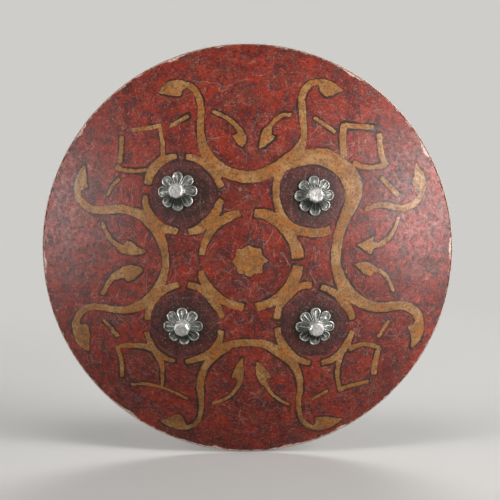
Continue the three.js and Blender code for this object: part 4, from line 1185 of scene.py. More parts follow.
def spun(profile, steps):
    # A profile of (radius, height) turned round the boss's axis: x = r cos, y = height, z = r sin.
    turn = onceRound(steps)
    profile = np.asarray(profile, float)
    x = profile[:, :1] * np.cos(turn)
    z = profile[:, :1] * np.sin(turn)
    return np.stack([x, np.broadcast_to(profile[:, 1:], x.shape), z], -1)


def rounded(points, radius, steps=4):
    # An open profile whose inner corners are rounded by quadratic curves that start radius before them.
    points = [np.asarray(point, float) for point in points]
    line = [points[0]]
    t = np.linspace(0, 1, steps + 1)[:, None]
    for before, corner, after in zip(points, points[1:], points[2:]):
        a, b = (corner + unit(end - corner) * min(radius, 0.5 * np.linalg.norm(end - corner))
                for end in (before, after))
        line += list((1 - t) ** 2 * a + 2 * t * (1 - t) * corner + t**2 * b)
    return np.array(line + [points[-1]])


def bossPiece(corner, name, parts, slot, finish, node):
    # Parts made on a boss's own axes become a piece on the shield
    points, faces = parts
    points = placed(points, *corners[corner])
    return addPiece(f"{corner}_{name}", points, faces, "shield", slot, finish, f"{corner}_{node}")


# Boss rosettes: a cast plate of eight dished petals, each with a raised rim and a rib down its middle
rosetteShape = {
    "diameter": 47.4 * mm,
    "petals": 8,
    "notchDepth": 8.2 * mm,
    "notchPower": 0.70,
    "lobePower": 2.6,
    "unevenness": 1.1 * mm,
    "edge": 1.3 * mm,
    "thinnest": 0.55 * mm,
    "hubHeight": 4.6 * mm,
    "hubDiameter": 15 * mm,
    "fall": 1.5,
    "hollow": 1.4 * mm,
    "dishSlope": 1.4 * mm,
    "rimHeight": 0.65 * mm,
    "rimWidth": 0.80 * mm,
    "rimInset": 0.9 * mm,
    "ribHeight": 0.75 * mm,
    "ribWidth": 0.50 * mm,
    "ribDrift": 1.2 * mm,
    "ribEnd": (1.6 * mm, 3.4 * mm),  # how far before the tip the rib runs out
    "valley": 1.3 * mm,
    "valleyWidth": 0.9 * mm,
    "castGrain": 0.18 * mm,
    "wear": (0.46, 0.30, 0.55),  # of the rims: plain share, by petal, by place
    "soilAndShade": (0.30, 0.35, 0.35, 0.55),  # darkening of the dishes: plain share, by place, near the hub, below the knob; the last two are painted shade under the knob
    "paintedShadow": 1.9,  # the painted shadow at its darkest, below the knob
    "cleanest": 0.08,
    "underTone": 0.8,
    # down the outline: how far down its thickness each row is, and how far in
    "outsideRows": ((0.35, -0.12 * mm), (0.7, -0.08 * mm), (1, 0.35 * mm)),
    "hole": 2.7 * mm,
    "petalSteps": 44,
    "radialSteps": 50,
}


def rosette(corner, seed):
    # A point's height is the plain plate, falling from hub to edge, plus a ridge that follows the petal's
    # outline at rimInset, plus the rib near its middle line, less the dish between them. The outline's
    # radius is the tip's, less the notch's depth times 1 - (1 - |petal| ** lobePower) ** notchPower.
    # Tarnish, stored as recess, gathers in the dishes and valleys; near the hub and below the knob the dishes
    # get painted shade, and above 1 recess holds a painted shadow below the knob.
    s = rosetteShape
    draw = np.random.default_rng(seed)
    steps = s["petals"] * s["petalSteps"]
    turn = 2 * math.pi * np.arange(steps) / steps
    petal = (turn * s["petals"] / (2 * math.pi) + 0.5) % 1 * 2 - 1
    number = (np.arange(steps) + s["petalSteps"] // 2) // s["petalSteps"] % s["petals"]
    blunt, rubbing, ribLift, skew, drifting, ribLength = draw.uniform(-1, 1, (6, s["petals"]))[:, number]
    tip, hub = s["diameter"] / 2, s["hubDiameter"] / 2
    lobe = np.maximum(1 - np.abs(petal) ** s["lobePower"], 0) ** s["notchPower"]
    uneven = s["unevenness"] * (np.abs(blunt) + 0.5 * skew * petal)
    edge = tip - s["notchDepth"] * (1 - lobe) - uneven * lobe
    share = np.linspace(0, 1, s["radialSteps"])[:, None] ** 0.9
    radius = s["hole"] + (edge - s["hole"]) * share
    fallen = np.clip((radius - hub) / (tip - hub), 0, 1)
    plate = s["edge"] + (s["hubHeight"] - s["edge"]) * (1 - fallen) ** s["fall"]

    # How far each point is from the outline, from the notch's line and from the petal's middle line
    flatPlace = radius[..., None] * compass(turn)
    outline = edge[:, None] * compass(turn)
    toEdge = np.stack([np.linalg.norm(row[:, None] - outline, axis=-1).min(1) for row in flatPlace])
    sideways = radius * np.sin((1 - np.abs(petal)) * math.pi / s["petals"])
    inner = np.minimum(toEdge, sideways + 0.15 * mm)
    drift = s["ribDrift"] * drifting * smoothStep(radius, hub, tip)
    offMiddle = np.abs(radius * np.sin(petal * math.pi / s["petals"]) - drift)

    onPetal = smoothStep(radius, hub + 0.3 * mm, hub + 2.4 * mm)
    plain, byPetal, byPlace = s["wear"]
    worn = plain + byPetal * rubbing + byPlace * ripple(flatPlace, seed + 7, 12 * mm, 3 * mm)
    worn = np.clip(worn, s["cleanest"], 1)
    rim = bell(inner - s["rimInset"], s["rimWidth"] / 2) * onPetal
    ribStart, ribFull = (end + s["ribDrift"] * ribLength for end in s["ribEnd"])
    rib = bell(offMiddle, s["ribWidth"]) * onPetal * smoothStep(edge - radius, ribStart, ribFull)
    dish = smoothStep(inner, s["rimInset"], s["rimInset"] + s["dishSlope"]) * onPetal
    valley = (1 - smoothStep(sideways, 0, s["valleyWidth"])) * onPetal
    height = plate + s["rimHeight"] * rim * worn + s["ribHeight"] * (0.75 + 0.45 * ribLift) * rib
    height = height - s["hollow"] * dish * (0.75 + 0.25 * fallen) - s["valley"] * valley
    height += s["castGrain"] * ripple(flatPlace, seed, 7 * mm, 1.2 * mm, 24)
    height = np.maximum(height, s["thinnest"])

    nearHub = 1 - smoothStep(radius, hub, tip)
    below = np.maximum(-np.sin(turn), 0)
    # Tarnish over the dishes, plus painted shade near the hub and a painted shadow below the knob
    plain, byPlace, byHub, shadeBelowKnob = s["soilAndShade"]
    soiledAndShaded = plain + byPlace * ripple(flatPlace, seed + 9, 14 * mm, 4 * mm)
    soiledAndShaded = soiledAndShaded + (byHub + shadeBelowKnob * below) * nearHub
    recess = dish * soiledAndShaded + valley + 0.5 * (1 - worn) - rib * 0.8 - rim * 0.4 * worn
    # Above 1, recess holds the painted shadow that falls below the knob
    recess = np.clip(recess, 0, 1) + s["paintedShadow"] * below**1.5 * smoothStep(nearHub, 0.05, 0.75)

    def ringOf(radius, lift):
        bed = domeRadius - np.sqrt(domeRadius**2 - radius**2) - seatGap
        return np.stack([radius * np.cos(turn), bed - lift, radius * np.sin(turn)], -1)

    # The top, three rows down the outline, and two underneath
    last = height[-1]
    outside = [ringOf(edge - inset, last * (1 - drop)) for drop, inset in s["outsideRows"]]
    under = [ringOf(edge - 2 * mm, 0), ringOf(np.full(steps, s["hole"]), 0)]
    grid = np.concatenate([ringOf(radius, height), outside, under])
    piece = bossPiece(corner, "rosette", tubeParts(grid, wrapRows=True), "dark_pewter", "pewter", "boss")
    rest = np.full((len(grid) - len(recess), steps), s["underTone"])
    storeOnPoints(piece, "recess", np.concatenate([recess, rest]))


# Knobs: each is cut by flat faces, eight to a row, and hammered; the faces meet in soft edges, and the
# crown is the dullest of them. The attribute recess holds how dull the metal is.
knobShape = {
    "diameter": 19.4 * mm,
    "height": 9 * mm,
    "facets": 8,
    "rowLifts": (0.97, 0.80, 0.44, 0.2),
    "rowWidths": (0.80, 0.95, 1.0, 0.9),
    "crownWay": (0.02, 1.0, -0.03),
    "cutDrift": 0.035,
    "cutDepthDrift": 0.010,
    "hammering": 0.10 * mm,
    "neck": 13 * mm,
    "neckHeight": 1.8 * mm,
    "neckCorner": (0.3 * mm, 0.25 * mm),
    "socket": 2.7 * mm,
    "socketDepth": 5.5 * mm,
    "centreLift": 0.5,
    "sharpness": 60,
    "crownTone": 0.55,
    "sideTones": (-0.1, 0.35),
    "neckTone": 0.8,
    "edgeGlint": 0.05,
    "aroundSteps": 96,
    "upSteps": 44,
}
knobSeat = -(rosetteShape["hubHeight"] + 2 * seatGap)


def knobCuts(draw):
    # The flat faces' normals and distances from the knob's middle: the crown, then rows of facets, each
    # square to the line between two stations of the profile
    s = knobShape
    middle = s["height"] * s["centreLift"]
    flat = math.cos(math.pi / s["facets"])
    wide, high = s["diameter"] / 2 * flat, s["height"]
    stations = [(wide * share, high * lift) for share, lift in zip(s["rowWidths"], s["rowLifts"])]
    normals, distances = [unit(np.array(s["crownWay"]))], [s["height"] - middle]
    for (r0, h0), (r1, h1) in zip(stations, stations[1:]):
        out, up = h0 - h1, r1 - r0
        length = math.hypot(out, up)
        for k in range(s["facets"]):
            at = 2 * math.pi * (k + 0.5) / s["facets"] + draw.normal() * s["cutDrift"]
            lean = draw.normal() * s["cutDrift"]
            normals.append(unit(np.array([out * math.cos(at), up + lean * length, out * math.sin(at)])))
            depth = 1 + draw.normal() * s["cutDepthDrift"]
            distances.append((r0 * out + (h0 - middle) * up) / length * depth)
    return np.array(normals), np.array(distances)


def knob(corner, seed):
    # Along each direction from the knob's middle the surface lies at the p-norm of the faces:
    # r = (sum of (normal . direction / distance) ** p) ** (-1 / p), where p is the sharpness
    s = knobShape
    draw = np.random.default_rng(seed)
    normals, distances = knobCuts(draw)
    middle = s["height"] * s["centreLift"]
    lowest = math.pi / 2 + math.atan2(middle - s["neckHeight"], s["diameter"] / 2 * s["rowWidths"][-1])
    down = np.linspace(0, lowest, s["upSteps"])[:, None]
    turn = onceRound(s["aroundSteps"])[None]
    way = np.stack([np.sin(down) * np.cos(turn), np.cos(down) + 0 * turn, np.sin(down) * np.sin(turn)], -1)
    facing = np.maximum(way @ normals.T, 0) / distances
    reach = np.sum(facing ** s["sharpness"], -1) ** (-1 / s["sharpness"])
    ranked = np.sort(facing, -1)
    faceTone = np.concatenate([[s["crownTone"]], draw.uniform(*s["sideTones"], len(distances) - 1)])
    # Where two faces meet, the metal is made least dull: a painted highlight along the knob's edges
    tone = faceTone[facing.argmax(-1)] * smoothStep(1 - ranked[..., -2] / ranked[..., -1], 0, s["edgeGlint"])
    body = way * reach[..., None]
    body = body + way * (s["hammering"] * ripple(body, seed + 1, 5 * mm, 2 * mm, 18))[..., None]
    body[0] = body[0].mean(0)
    body[..., 1] = -(body[..., 1] + middle)
    wide, (inset, rise) = s["neck"] / 2, s["neckCorner"]
    neck = [(wide, -s["neckHeight"] * 0.9), (wide, -rise), (wide - inset, 0), (s["socket"], 0)]
    neck.append((s["socket"], -s["socketDepth"]))
    grid = np.concatenate([body, spun(neck, s["aroundSteps"])])
    grid[..., 1] += knobSeat
    piece = bossPiece(corner, "faceted_knob", tubeParts(grid), "bright_steel", "steel", "knob")
    values = np.full(len(piece.data.vertices), s["neckTone"])
    values[: tone.size] = tone.reshape(-1)
    values[-2] = s["crownTone"]  # the hub that closes the crown
    storeOnPoints(piece, "recess", values)


# Ironwork behind: washers, ring bolts forged into eyes, and the rings
def washer(corner, seed):
    # A spun plate with a rounded top edge, a little out of round and dented from above
    s = ironwork
    hole, rim, top = s["washerHole"] / 2, s["washer"] / 2, washerSeat + s["washerThickness"]
    inset, drop = s["washerSlope"]
    profile = [(hole, washerSeat), (hole, top), (rim - inset, top - drop)]
    profile += [(rim, washerSeat + s["washerSide"]), (rim, washerSeat)]
    profile = rounded(profile, s["washerRound"])
    profile = np.concatenate([profile, [(rim - s["washerUnder"], washerSeat)]])
    grid = spun(profile, s["washerSteps"])
    way = grid * np.array([1, 0, 1])
    grid = grid + way * (s["washerOval"] * ripple(way, seed, 20 * mm, 6 * mm))[..., None]
    dents = s["washerDents"] * np.abs(ripple(way, seed + 1, 12 * mm, 3 * mm))
    grid[..., 1] -= dents * (profile[:, 1] > washerSeat)[:, None]
    bossPiece(corner, "dished_washer", tubeParts(grid, wrapRows=True), "iron", "iron", "washer")


def forged(piece):
    # Melts overlapping solids into one skin: a voxel remesh, then each point moved towards its neighbours.
    remesh = piece.modifiers.new("forge", "REMESH")
    remesh.mode = "VOXEL"
    remesh.voxel_size = ironwork["forgeVoxel"]
    remesh.use_smooth_shade = True
    soften = piece.modifiers.new("soften", "SMOOTH")
    soften.factor = 0.5
    soften.iterations = ironwork["forgeRounds"]
    finished = applyModifiers(piece)
    finished.name = piece.name
    allSmooth(finished)
    return piece


def ringBolt(corner):
    # A shank, a collar and an eye, whose tube point = (R + r cos b) on a circle plus r sin b across it
    s = ironwork
    shankTop = knobSeat - knobShape["socketDepth"] + seatGap
    shankEnd = collarSeat + s["collarThickness"] / 2
    shank = tubeParts(spun([(s["shank"] / 2, shankTop), (s["shank"] / 2, shankEnd)], 32))
    top, wide, narrow = collarSeat + s["collarThickness"], s["collar"] / 2, 0.5 * mm
    collar = [(narrow, collarSeat), (wide, collarSeat), (wide, top - s["collarSlope"]), (narrow, top)]
    collar = tubeParts(spun(rounded(collar, s["collarRound"]), 48))
    turn = onceRound(72)
    line = np.stack([eyeRadius * np.sin(turn), eyeHeight + eyeRadius * np.cos(turn), np.zeros(72)], -1)
    thick = 1 + s["eyeSwell"] * bell(turn - math.pi, 0.5)
    eye = wire(line, s["eyeWire"] / 2 * thick, 20, (0, 0, 1), wrap=True)
    points, faces = joinParts([shank, collar, eye])
    piece = makePiece(corner + "_forged_ring_bolt", placed(points, *corners[corner]), faces)
    settle(forged(piece), "shield", "iron", "iron", corner + "_ring_bolt")


def ring(level, side, seed):
    # A closed round wire with a hammered weld, a little thicker there
    s = ironwork
    steps = s["ringSteps"]
    pull = leaning(side, level)
    flat = np.cross(sides[side]["out"], sides[side]["hinge"])
    turn = onceRound(steps)
    line = np.stack([ringStand + ringRadius * np.cos(turn), ringRadius * np.sin(turn), np.zeros(steps)], -1)
    thick = 1 + s["weldSwell"] * bell(turnGap(turn, s["weldAt"]), s["weldWidth"])
    sections = circle(s["ringWire"] / 2, 20)[None] * thick[:, None, None]
    grid = sweep(line, sections, (0, 0, 1), wrap=True)
    grid = grid + s["hammering"] * ripple(grid, seed, 6 * mm, 1.5 * mm)[..., None] * np.array([0.6, 0.6, 1])
    axes = np.stack([pull, np.cross(flat, pull), flat])
    points, faces = tubeParts(placed(grid, sides[side][level], axes), wrapRows=True)
    node = f"{level}_{side}_ring"
    addPiece(f"{level}_{side}_welded_ring", points, faces, f"{side}_{level}_ring", "iron", "iron", node)


for number, corner in enumerate(corners):
    rosette(corner, 20 + number)
    knob(corner, 40 + number)
    washer(corner, 60 + number)
    ringBolt(corner)
    ring(*corner.split("_"), 100 + number)
print("bosses, bolts and rings made:", len(corners), "of each")


# Grips: padded leather, sewn along one side, with a strap loop and a cord whipping at each end
gripShape = {
    "diameter": 20 * mm,
    "neckDiameter": 10.6 * mm,
    "straight": 24 * mm,
    "apart": 3 * mm,
    "strapWidth": 8 * mm,
    "strapThickness": 2.2 * mm,
    "strapPowers": (0.38, 0.55),  # that square off its rounded section
    "strapUnevenness": 0.12 * mm,
    "loopBore": 8 * mm,
    "loopSlack": 0.7 * mm,
    "loopTaper": 11 * mm,
    "loopMouth": math.radians(75),
    "leadIn": 3 * mm,
    "whippingLength": 8 * mm,
    "whippingCord": 1.5 * mm,
    "swellShare": 0.55,
    "bendShare": 0.42,
    "sides": 40,
    "curveSteps": 56,
    "neckSteps": 12,
    "holdSteps": 12,
    "stitch": {"pitch": 4.2 * mm, "length": 2.9 * mm, "thread": 0.75 * mm},
    "wrinkle": 0.30 * mm,
    "wrinklePitch": 2.3 * mm,
    "welt": 0.5 * mm,
    "weltGroove": 0.35 * mm,
    "flattening": 0.25 * mm,
}


def gripPiece(side, name, parts, slot, finish, *replaced):
    # Parts made on a grip's own axes, from its pivot, become a piece that rides on the grip
    points, faces = parts
    points = placed(points, sides[side]["pivot"], sides[side]["axes"])
    addPiece(name, points, faces, side + "_grip", slot, finish, *replaced)


def gripMeasures(side):
    # Half the height between the two rings' far wires, and how far the grip bows out past them.
    s = sides[side]
    upper, lower = (s[level] + ringReach * leaning(side, level) for level in levels)
    middle = (s["upper"] + s["lower"]) / 2
    holdX = math.copysign((gripShape["diameter"] + gripShape["apart"]) / 2, middle[0])
    hold = np.array([holdX - middle[0], -middle[1], 0])
    hold[2] = -(hold[0] * s["hinge"][0] + hold[1] * s["hinge"][1]) / s["hinge"][2]
    bow = np.linalg.norm(hold) - ringReach * math.cos(ironwork["ringTilt"])
    return np.linalg.norm(upper - lower) / 2, bow


def neckLine(side, level):
    # The straight neck follows its ring's pull: its way, and the loop's middle on the ring's wire.
    tilt, sign = ironwork["ringTilt"], levels[level]
    along = np.array([math.cos(tilt), 0, -sign * math.sin(tilt)])
    return along, np.array([0, 0, sign * gripMeasures(side)[0]]) + along * gripShape["loopSlack"]


def gripLine(side):
    # Neck, cubic curve to the hold, straight hold, and the same back: the middle line and the radius there.
    s = gripShape
    bow = gripMeasures(side)[1]
    start = s["loopTaper"] + s["whippingLength"] + 2 * seatGap
    neck, full = s["neckDiameter"] / 2, s["diameter"] / 2
    lines, radii = {}, {}
    for level, sign in levels.items():
        along, loop = neckLine(side, level)
        a = loop + along * start
        d = np.array([bow, 0, sign * s["straight"] / 2])
        pull = np.linalg.norm(d - a) * s["bendShare"]
        b, c = a + along * pull, np.array([bow, 0, d[2] + sign * pull])
        t = np.linspace(0, 1, s["curveSteps"])[:, None]
        curve = (1 - t) ** 3 * a + 3 * t * (1 - t) ** 2 * b + 3 * t**2 * (1 - t) * c + t**3 * d
        neckSteps = np.linspace(s["loopTaper"] - seatGap, start, s["neckSteps"])[:-1, None]
        swell = smoothStep(t[:, 0], 0, s["swellShare"])
        lines[level] = np.concatenate([loop + along * neckSteps, curve])
        radii[level] = np.concatenate([np.full(len(neckSteps), neck), neck + (full - neck) * swell])
    hold = np.linspace(lines["lower"][-1], lines["upper"][-1], s["holdSteps"] + 2)[1:-1]
    line = np.concatenate([lines["lower"], hold, lines["upper"][::-1]])
    return line, np.concatenate([radii["lower"], np.full(len(hold), full), radii["upper"][::-1]])


def stitchPart(start, end, normal, thread):
    # One stitch: a short arch of thread that stands off the surface and dips in at its ends
    t = np.linspace(0, 1, 7)[:, None]
    line = start + (end - start) * t + normal * thread * (1.1 * np.sin(math.pi * t) ** 0.6 - 0.55)
    size = thread / 2 * np.array([0.6, 0.95, 1.05, 1.0, 1.05, 0.95, 0.6])
    return wire(line, size, 6, normal)


def stitching(track, first, pitch, count, stitch, normalAt):
    # A row of stitches, one to each pitch, along the track from first on.
    way = lengthAlong(track)
    parts = []
    for k in range(count):
        ends = first + pitch * (k + np.array([0, stitch["length"] / stitch["pitch"]]))
        a, b = (pointAt(track, way, end) for end in ends)
        parts.append(stitchPart(a, b, normalAt(a, b, ends.mean()), stitch["thread"]))
    return joinParts(parts)


def gripBody(side, seed):
    # A tube whose size at each point is the line's radius, less wrinkles across the inside of the bends,
    # plus a welt along the seam with a groove beside it, and less a flattening on two sides
    s = gripShape
    line, radius = gripLine(side)
    turn = onceRound(s["sides"])
    length = lengthAlong(line)
    swollen = smoothStep(radius, 6.5 * mm, 9.5 * mm)[:, None]
    along = unit(np.gradient(line, axis=0))
    bend = np.linalg.norm(np.gradient(along, axis=0), axis=1) / np.gradient(length)
    bend = np.clip(bend / bend.max(), 0, 1)
    wave = np.sin(length / s["wrinklePitch"] + 1.3 * np.sin(length / (11 * mm)))
    inside = np.clip(np.cos(turn - math.pi), 0, 1)
    seam = bell(turnGap(turn, math.pi / 2), 0.13)
    size = radius[:, None] - s["wrinkle"] * (bend * (0.5 + 0.5 * wave))[:, None] * inside
    size = size + (s["welt"] * seam - s["weltGroove"] * np.roll(seam, 3)) * swollen
    size = size - s["flattening"] * (np.cos(turn * 2) + 1) * swollen
    grid = sweep(line, circle(1, s["sides"])[None] * size[..., None], (1, 0, 0))
    grid = grid + (grid - line[:, None]) * (0.018 * ripple(grid, seed, 40 * mm, 8 * mm))[..., None]
    parts = tubeParts(grid)
    gripPiece(side, side + "_padded_grip", parts, "grip_leather", "gripLeather", side + "_grip")

    # Saddle stitches beside the welt, between the necks
    track = grid[:, (int(np.argmax(seam)) + 3) % s["sides"]]
    way = lengthAlong(track)
    first, last = np.interp([0.15, 0.85], way / way[-1], way)
    pitch = s["stitch"]["pitch"]
    parts = stitching(track, first, pitch, int((last - first) / pitch), s["stitch"],
                      lambda a, b, at: unit((a + b) / 2 - pointAt(line, way, at)))
    gripPiece(side, side + "_grip_stitches", parts, "whipping_cord", "stitch")


def strapLoop(side, level, seed):
    # A strap round the ring's wire: down one side of the neck's end, round a circle and back up
    s = gripShape
    along, loop = neckLine(side, level)
    across = np.array([0, 1.0, 0])
    middle = s["loopBore"] / 2 + s["strapThickness"] / 2
    neck = s["neckDiameter"] / 2 - s["strapThickness"] / 2
    turn = np.linspace(s["loopMouth"], 2 * math.pi - s["loopMouth"], 64)
    arc = middle * compass(turn)
    taper = np.linspace(0, 1, 14)[:-1, None]
    start = s["loopTaper"] + s["leadIn"]
    lead = np.concatenate([start + (arc[0, 0] - start) * taper,
                           neck + (arc[0, 1] - neck) * smoothStep(taper, 0, 1)], 1)
    flat = np.concatenate([lead, arc, (lead * [1, -1])[::-1]])
    line = loop + flat[:, :1] * along + flat[:, 1:] * across
    shape = circle(1, 28)
    shape = np.sign(shape) * np.abs(shape) ** np.array(s["strapPowers"])
    shape = shape * np.array([s["strapWidth"], s["strapThickness"]]) / 2
    grid = sweep(line, shape, np.cross(along, across))
    grid = grid + s["strapUnevenness"] * ripple(grid, seed, 9 * mm, 3 * mm)[..., None] * across
    gripPiece(side, f"{side}_grip_{level}_loop", tubeParts(grid), "grip_leather", "gripLeather")


def whipping(side, level):
    # One cord wound round the neck: a helix that climbs one cord's width each turn, both ends tucked in
    s = gripShape
    cord, (along, loop) = s["whippingCord"], neckLine(side, level)
    across = np.array([0, 1.0, 0])
    turns = s["whippingLength"] / cord - 0.6
    turn = np.linspace(0, 2 * math.pi * turns, int(turns * 30))
    ends = np.minimum(turn, turn[-1] - turn)
    reach = s["neckDiameter"] / 2 + cord * (0.52 - 0.9 * (1 - smoothStep(ends, 0, 1.1)))
    rise = s["loopTaper"] + seatGap + cord / 2 + (s["whippingLength"] - cord) * turn / turn[-1]
    way = np.cos(turn)[:, None] * across + np.sin(turn)[:, None] * np.cross(along, across)
    line = loop + rise[:, None] * along + reach[:, None] * way
    parts = wire(line, cord / 2, 10, way)
    node = f"{side}_grip_{level}_whipping"
    gripPiece(side, node + "_cord", parts, "whipping_cord", "cord", node)


for number, side in enumerate(sides):
    gripBody(side, 120 + number)
    for level, sign in levels.items():
        strapLoop(side, level, 130 + 2 * number + sign)
        whipping(side, level)
print("grips made:", len(sides), "with their loops and whippings")


# Cushion: a leather base stitched to the hide, and a stuffed cover sewn to it with a piped seam
cushion = {
    "margin": 8 * mm,
    "seamHeight": 7 * mm,
    "drawShare": 0.07,
    "cornerShare": 0.06,
    "baseBorder": 5 * mm,
    "baseThickness": 1.5 * mm,
    "baseCorners": 0.035,  # share by which its corners are cut back
    "baseCells": 72,
    "edgeShare": 0.45,  # of the base's thickness, left at its rounded border
    "edgeRound": 1.6 * mm,
    "stitchDent": 0.35 * mm,
    "stitchDentWidth": 0.9 * mm,
    "stitchInset": 3.0 * mm,
    "stitch": {"pitch": 5.0 * mm, "length": 3.4 * mm, "thread": 0.9 * mm},
    "unevenness": 0.12 * mm,
    "voxel": 4.5 * mm,
    "pressure": 4.0,
    "startScale": 0.965,
    "furthest": 3.2 * mm,
    "clothSteps": 20,
    "stiffness": {"tension": 12, "compression": 6, "bending": 0.4},
    "seamPull": 1.3 * mm,
    "seamBand": 3.2 * mm,
    "puckers": 34,
    "puckerDepth": 0.35 * mm,
    "softness": 0.5 * mm,
    "floorGap": 0.25 * mm,
    "piping": 3.0 * mm,
    "pipingInset": 1.9 * mm,
    "pipingTwists": 150,
}
seats = [origin for origin, _ in corners.values()]
padCentreZ = sum(seat[2] for seat in seats) / len(seats)
nearestBoss = min(min(abs(seat[0]), abs(seat[2] - padCentreZ)) for seat in seats)
padHalf = nearestBoss - ironwork["washer"] / 2 - cushion["margin"]
baseFloor = innerRadius - plateDepth - seatGap
padFloor = baseFloor - cushion["baseThickness"] - seatGap - plateDepth


def onFloor(floorRadius, x, z, height):
    # The point over (x, z) on the sphere of that radius, lifted towards the dome's centre.
    floor = onSphere(floorRadius, x, z)
    return floor + (domeCentre - floor) / floorRadius * np.asarray(height)[..., None]


def padOutline(u, v, half):
    # The square (u, v) with its sides drawn in between the corners, and the corners rounded off.
    corner = 1 - cushion["cornerShare"] * (u * v) ** 2
    x = half * u * (1 - cushion["drawShare"] * u**2 * (1 - v**2)) * corner
    z = padCentreZ + half * v * (1 - cushion["drawShare"] * v**2 * (1 - u**2)) * corner
    return x, z


def squareEdge(steps):
    # Once round the square from -1 to 1, evenly, as two rows of coordinates.
    t = np.linspace(-1, 1, steps, endpoint=False)
    one = np.ones(steps)
    return np.concatenate([t, one, -t, -one]), np.concatenate([-one, t, one, -t])


def padBase():
    # Two grids that follow the hide, the upper one drawn in and rounded down at its border, with a dent
    # along the row of stitches
    s = cushion
    cells = s["baseCells"]
    half = padHalf + s["baseBorder"]

    def baseAt(u, v, share=1.0):
        bulge = 1 - s["baseCorners"] * (u * v * share**2) ** 2
        return half * u * share * bulge, padCentreZ + half * v * share * bulge

    u, v = np.meshgrid(np.linspace(-1, 1, cells + 1), np.linspace(-1, 1, cells + 1))
    x, z = baseAt(u, v)
    inset = half * (1 - np.maximum(np.abs(u), np.abs(v)))
    full = s["edgeShare"] + (1 - s["edgeShare"]) * smoothStep(inset, 0, s["edgeRound"])
    height = s["baseThickness"] * full
    height -= s["stitchDent"] * bell(inset - s["stitchInset"], s["stitchDentWidth"])
    uneven = ripple(np.stack([x, z], -1), 151, 30 * mm, 8 * mm)
    height += s["unevenness"] * uneven * smoothStep(inset, 0, 3 * mm)
    top, under = (onFloor(baseFloor, x, z, h).reshape(-1, 3) for h in (height, np.zeros_like(x)))
    edge, count = border(cells), len(top)
    after = np.roll(edge, -1)
    faces = list(squareFaces(cells)) + list(squareFaces(cells, count)[:, ::-1])
    faces += list(np.stack([edge, edge + count, after + count, after], -1))
    points = np.concatenate([top, under])
    addPiece("stitched_pad_base", points, faces, "shield", "base_leather", "baseLeather", "pad_base")

    u, v = squareEdge(60)
    x, z = baseAt(u, v, 1 - s["stitchInset"] / half)
    track = onFloor(baseFloor, x, z, np.full(len(x), s["baseThickness"] - s["stitchDent"]))
    track = np.concatenate([track, track[:1]])
    whole = lengthAlong(track)[-1]
    count = round(whole / s["stitch"]["pitch"])
    parts = stitching(track, 0, whole / count, count, s["stitch"], lambda a, b, at: unit(domeCentre - a))
    addPiece("pad_base_stitches", *parts, "shield", "base_leather", "stitch")


def blownUp(piece, points):
    # Cloth under pressure, without gravity. Each point then goes from its first place towards its new one,
    # by no more than furthest.
    cloth = piece.modifiers.new("cloth", "CLOTH").settings
    cloth.use_pressure = True
    cloth.uniform_pressure_force = cushion["pressure"]
    cloth.effector_weights.gravity = 0
    cloth.tension_stiffness = cushion["stiffness"]["tension"]
    cloth.compression_stiffness = cushion["stiffness"]["compression"]
    cloth.bending_stiffness = cushion["stiffness"]["bending"]
    for step in range(1, cushion["clothSteps"] + 1):
        scene.frame_set(step)
    move = pointsOf(applyModifiers(piece)) - points
    scene.frame_set(1)
    size = np.maximum(np.linalg.norm(move, axis=1), 1e-9)[:, None]
    return points + move * np.minimum(1, cushion["furthest"] / size)


def stuffed(source, name):
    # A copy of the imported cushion, remeshed, drawn in a little and blown up
    mesh = source.data.copy()
    mesh.transform(source.matrix_world)
    piece = bpy.data.objects.new(name, mesh)
    scene.collection.objects.link(piece)
    merge = piece.modifiers.new("merge", "WELD")
    merge.merge_threshold = 0.01 * mm
    remesh = piece.modifiers.new("skin", "REMESH")
    remesh.mode = "VOXEL"
    remesh.voxel_size = cushion["voxel"]
    points = pointsOf(applyModifiers(piece))
    middle = points.mean(0)
    movePoints(piece.data, middle + (points - middle) * cushion["startScale"])
    points = blownUp(piece, points)
    movePoints(piece.data, points)
    return piece


def sewnIn(points):
    # The sewn edge pulls the cover in all round, and puckers run from it up the sides. The rest is gently
    # uneven, and nothing comes closer to the base than floorGap.
    s = cushion
    inward = domeCentre - points
    depth = np.linalg.norm(inward, axis=1)
    seamBand = bell(padFloor - depth - s["seamHeight"], s["seamBand"])
    u, v = points[:, 0] / padHalf, (points[:, 2] - padCentreZ) / padHalf
    nearEdge = smoothStep(np.maximum(np.abs(u), np.abs(v)), 0.62, 0.98)
    around = np.arctan2(v, u)
    pucker = s["puckerDepth"] * np.sin(around * s["puckers"] + 1.7 * np.sin(around * 5))
    out = np.stack([points[:, 0], np.zeros(len(points)), points[:, 2] - padCentreZ], -1)
    out /= np.maximum(np.linalg.norm(out, axis=1), 1e-9)[:, None]
    points = points + out * ((pucker - s["seamPull"]) * seamBand * nearEdge)[:, None]
    up = inward / depth[:, None]
    uneven = s["softness"] * ripple(points, 161, 45 * mm, 14 * mm) * (1 - seamBand)
    points = points + up * uneven[:, None]
    clear = padFloor - np.linalg.norm(domeCentre - points, axis=1)
    return points + up * np.maximum(s["floorGap"] - clear, 0)[:, None]


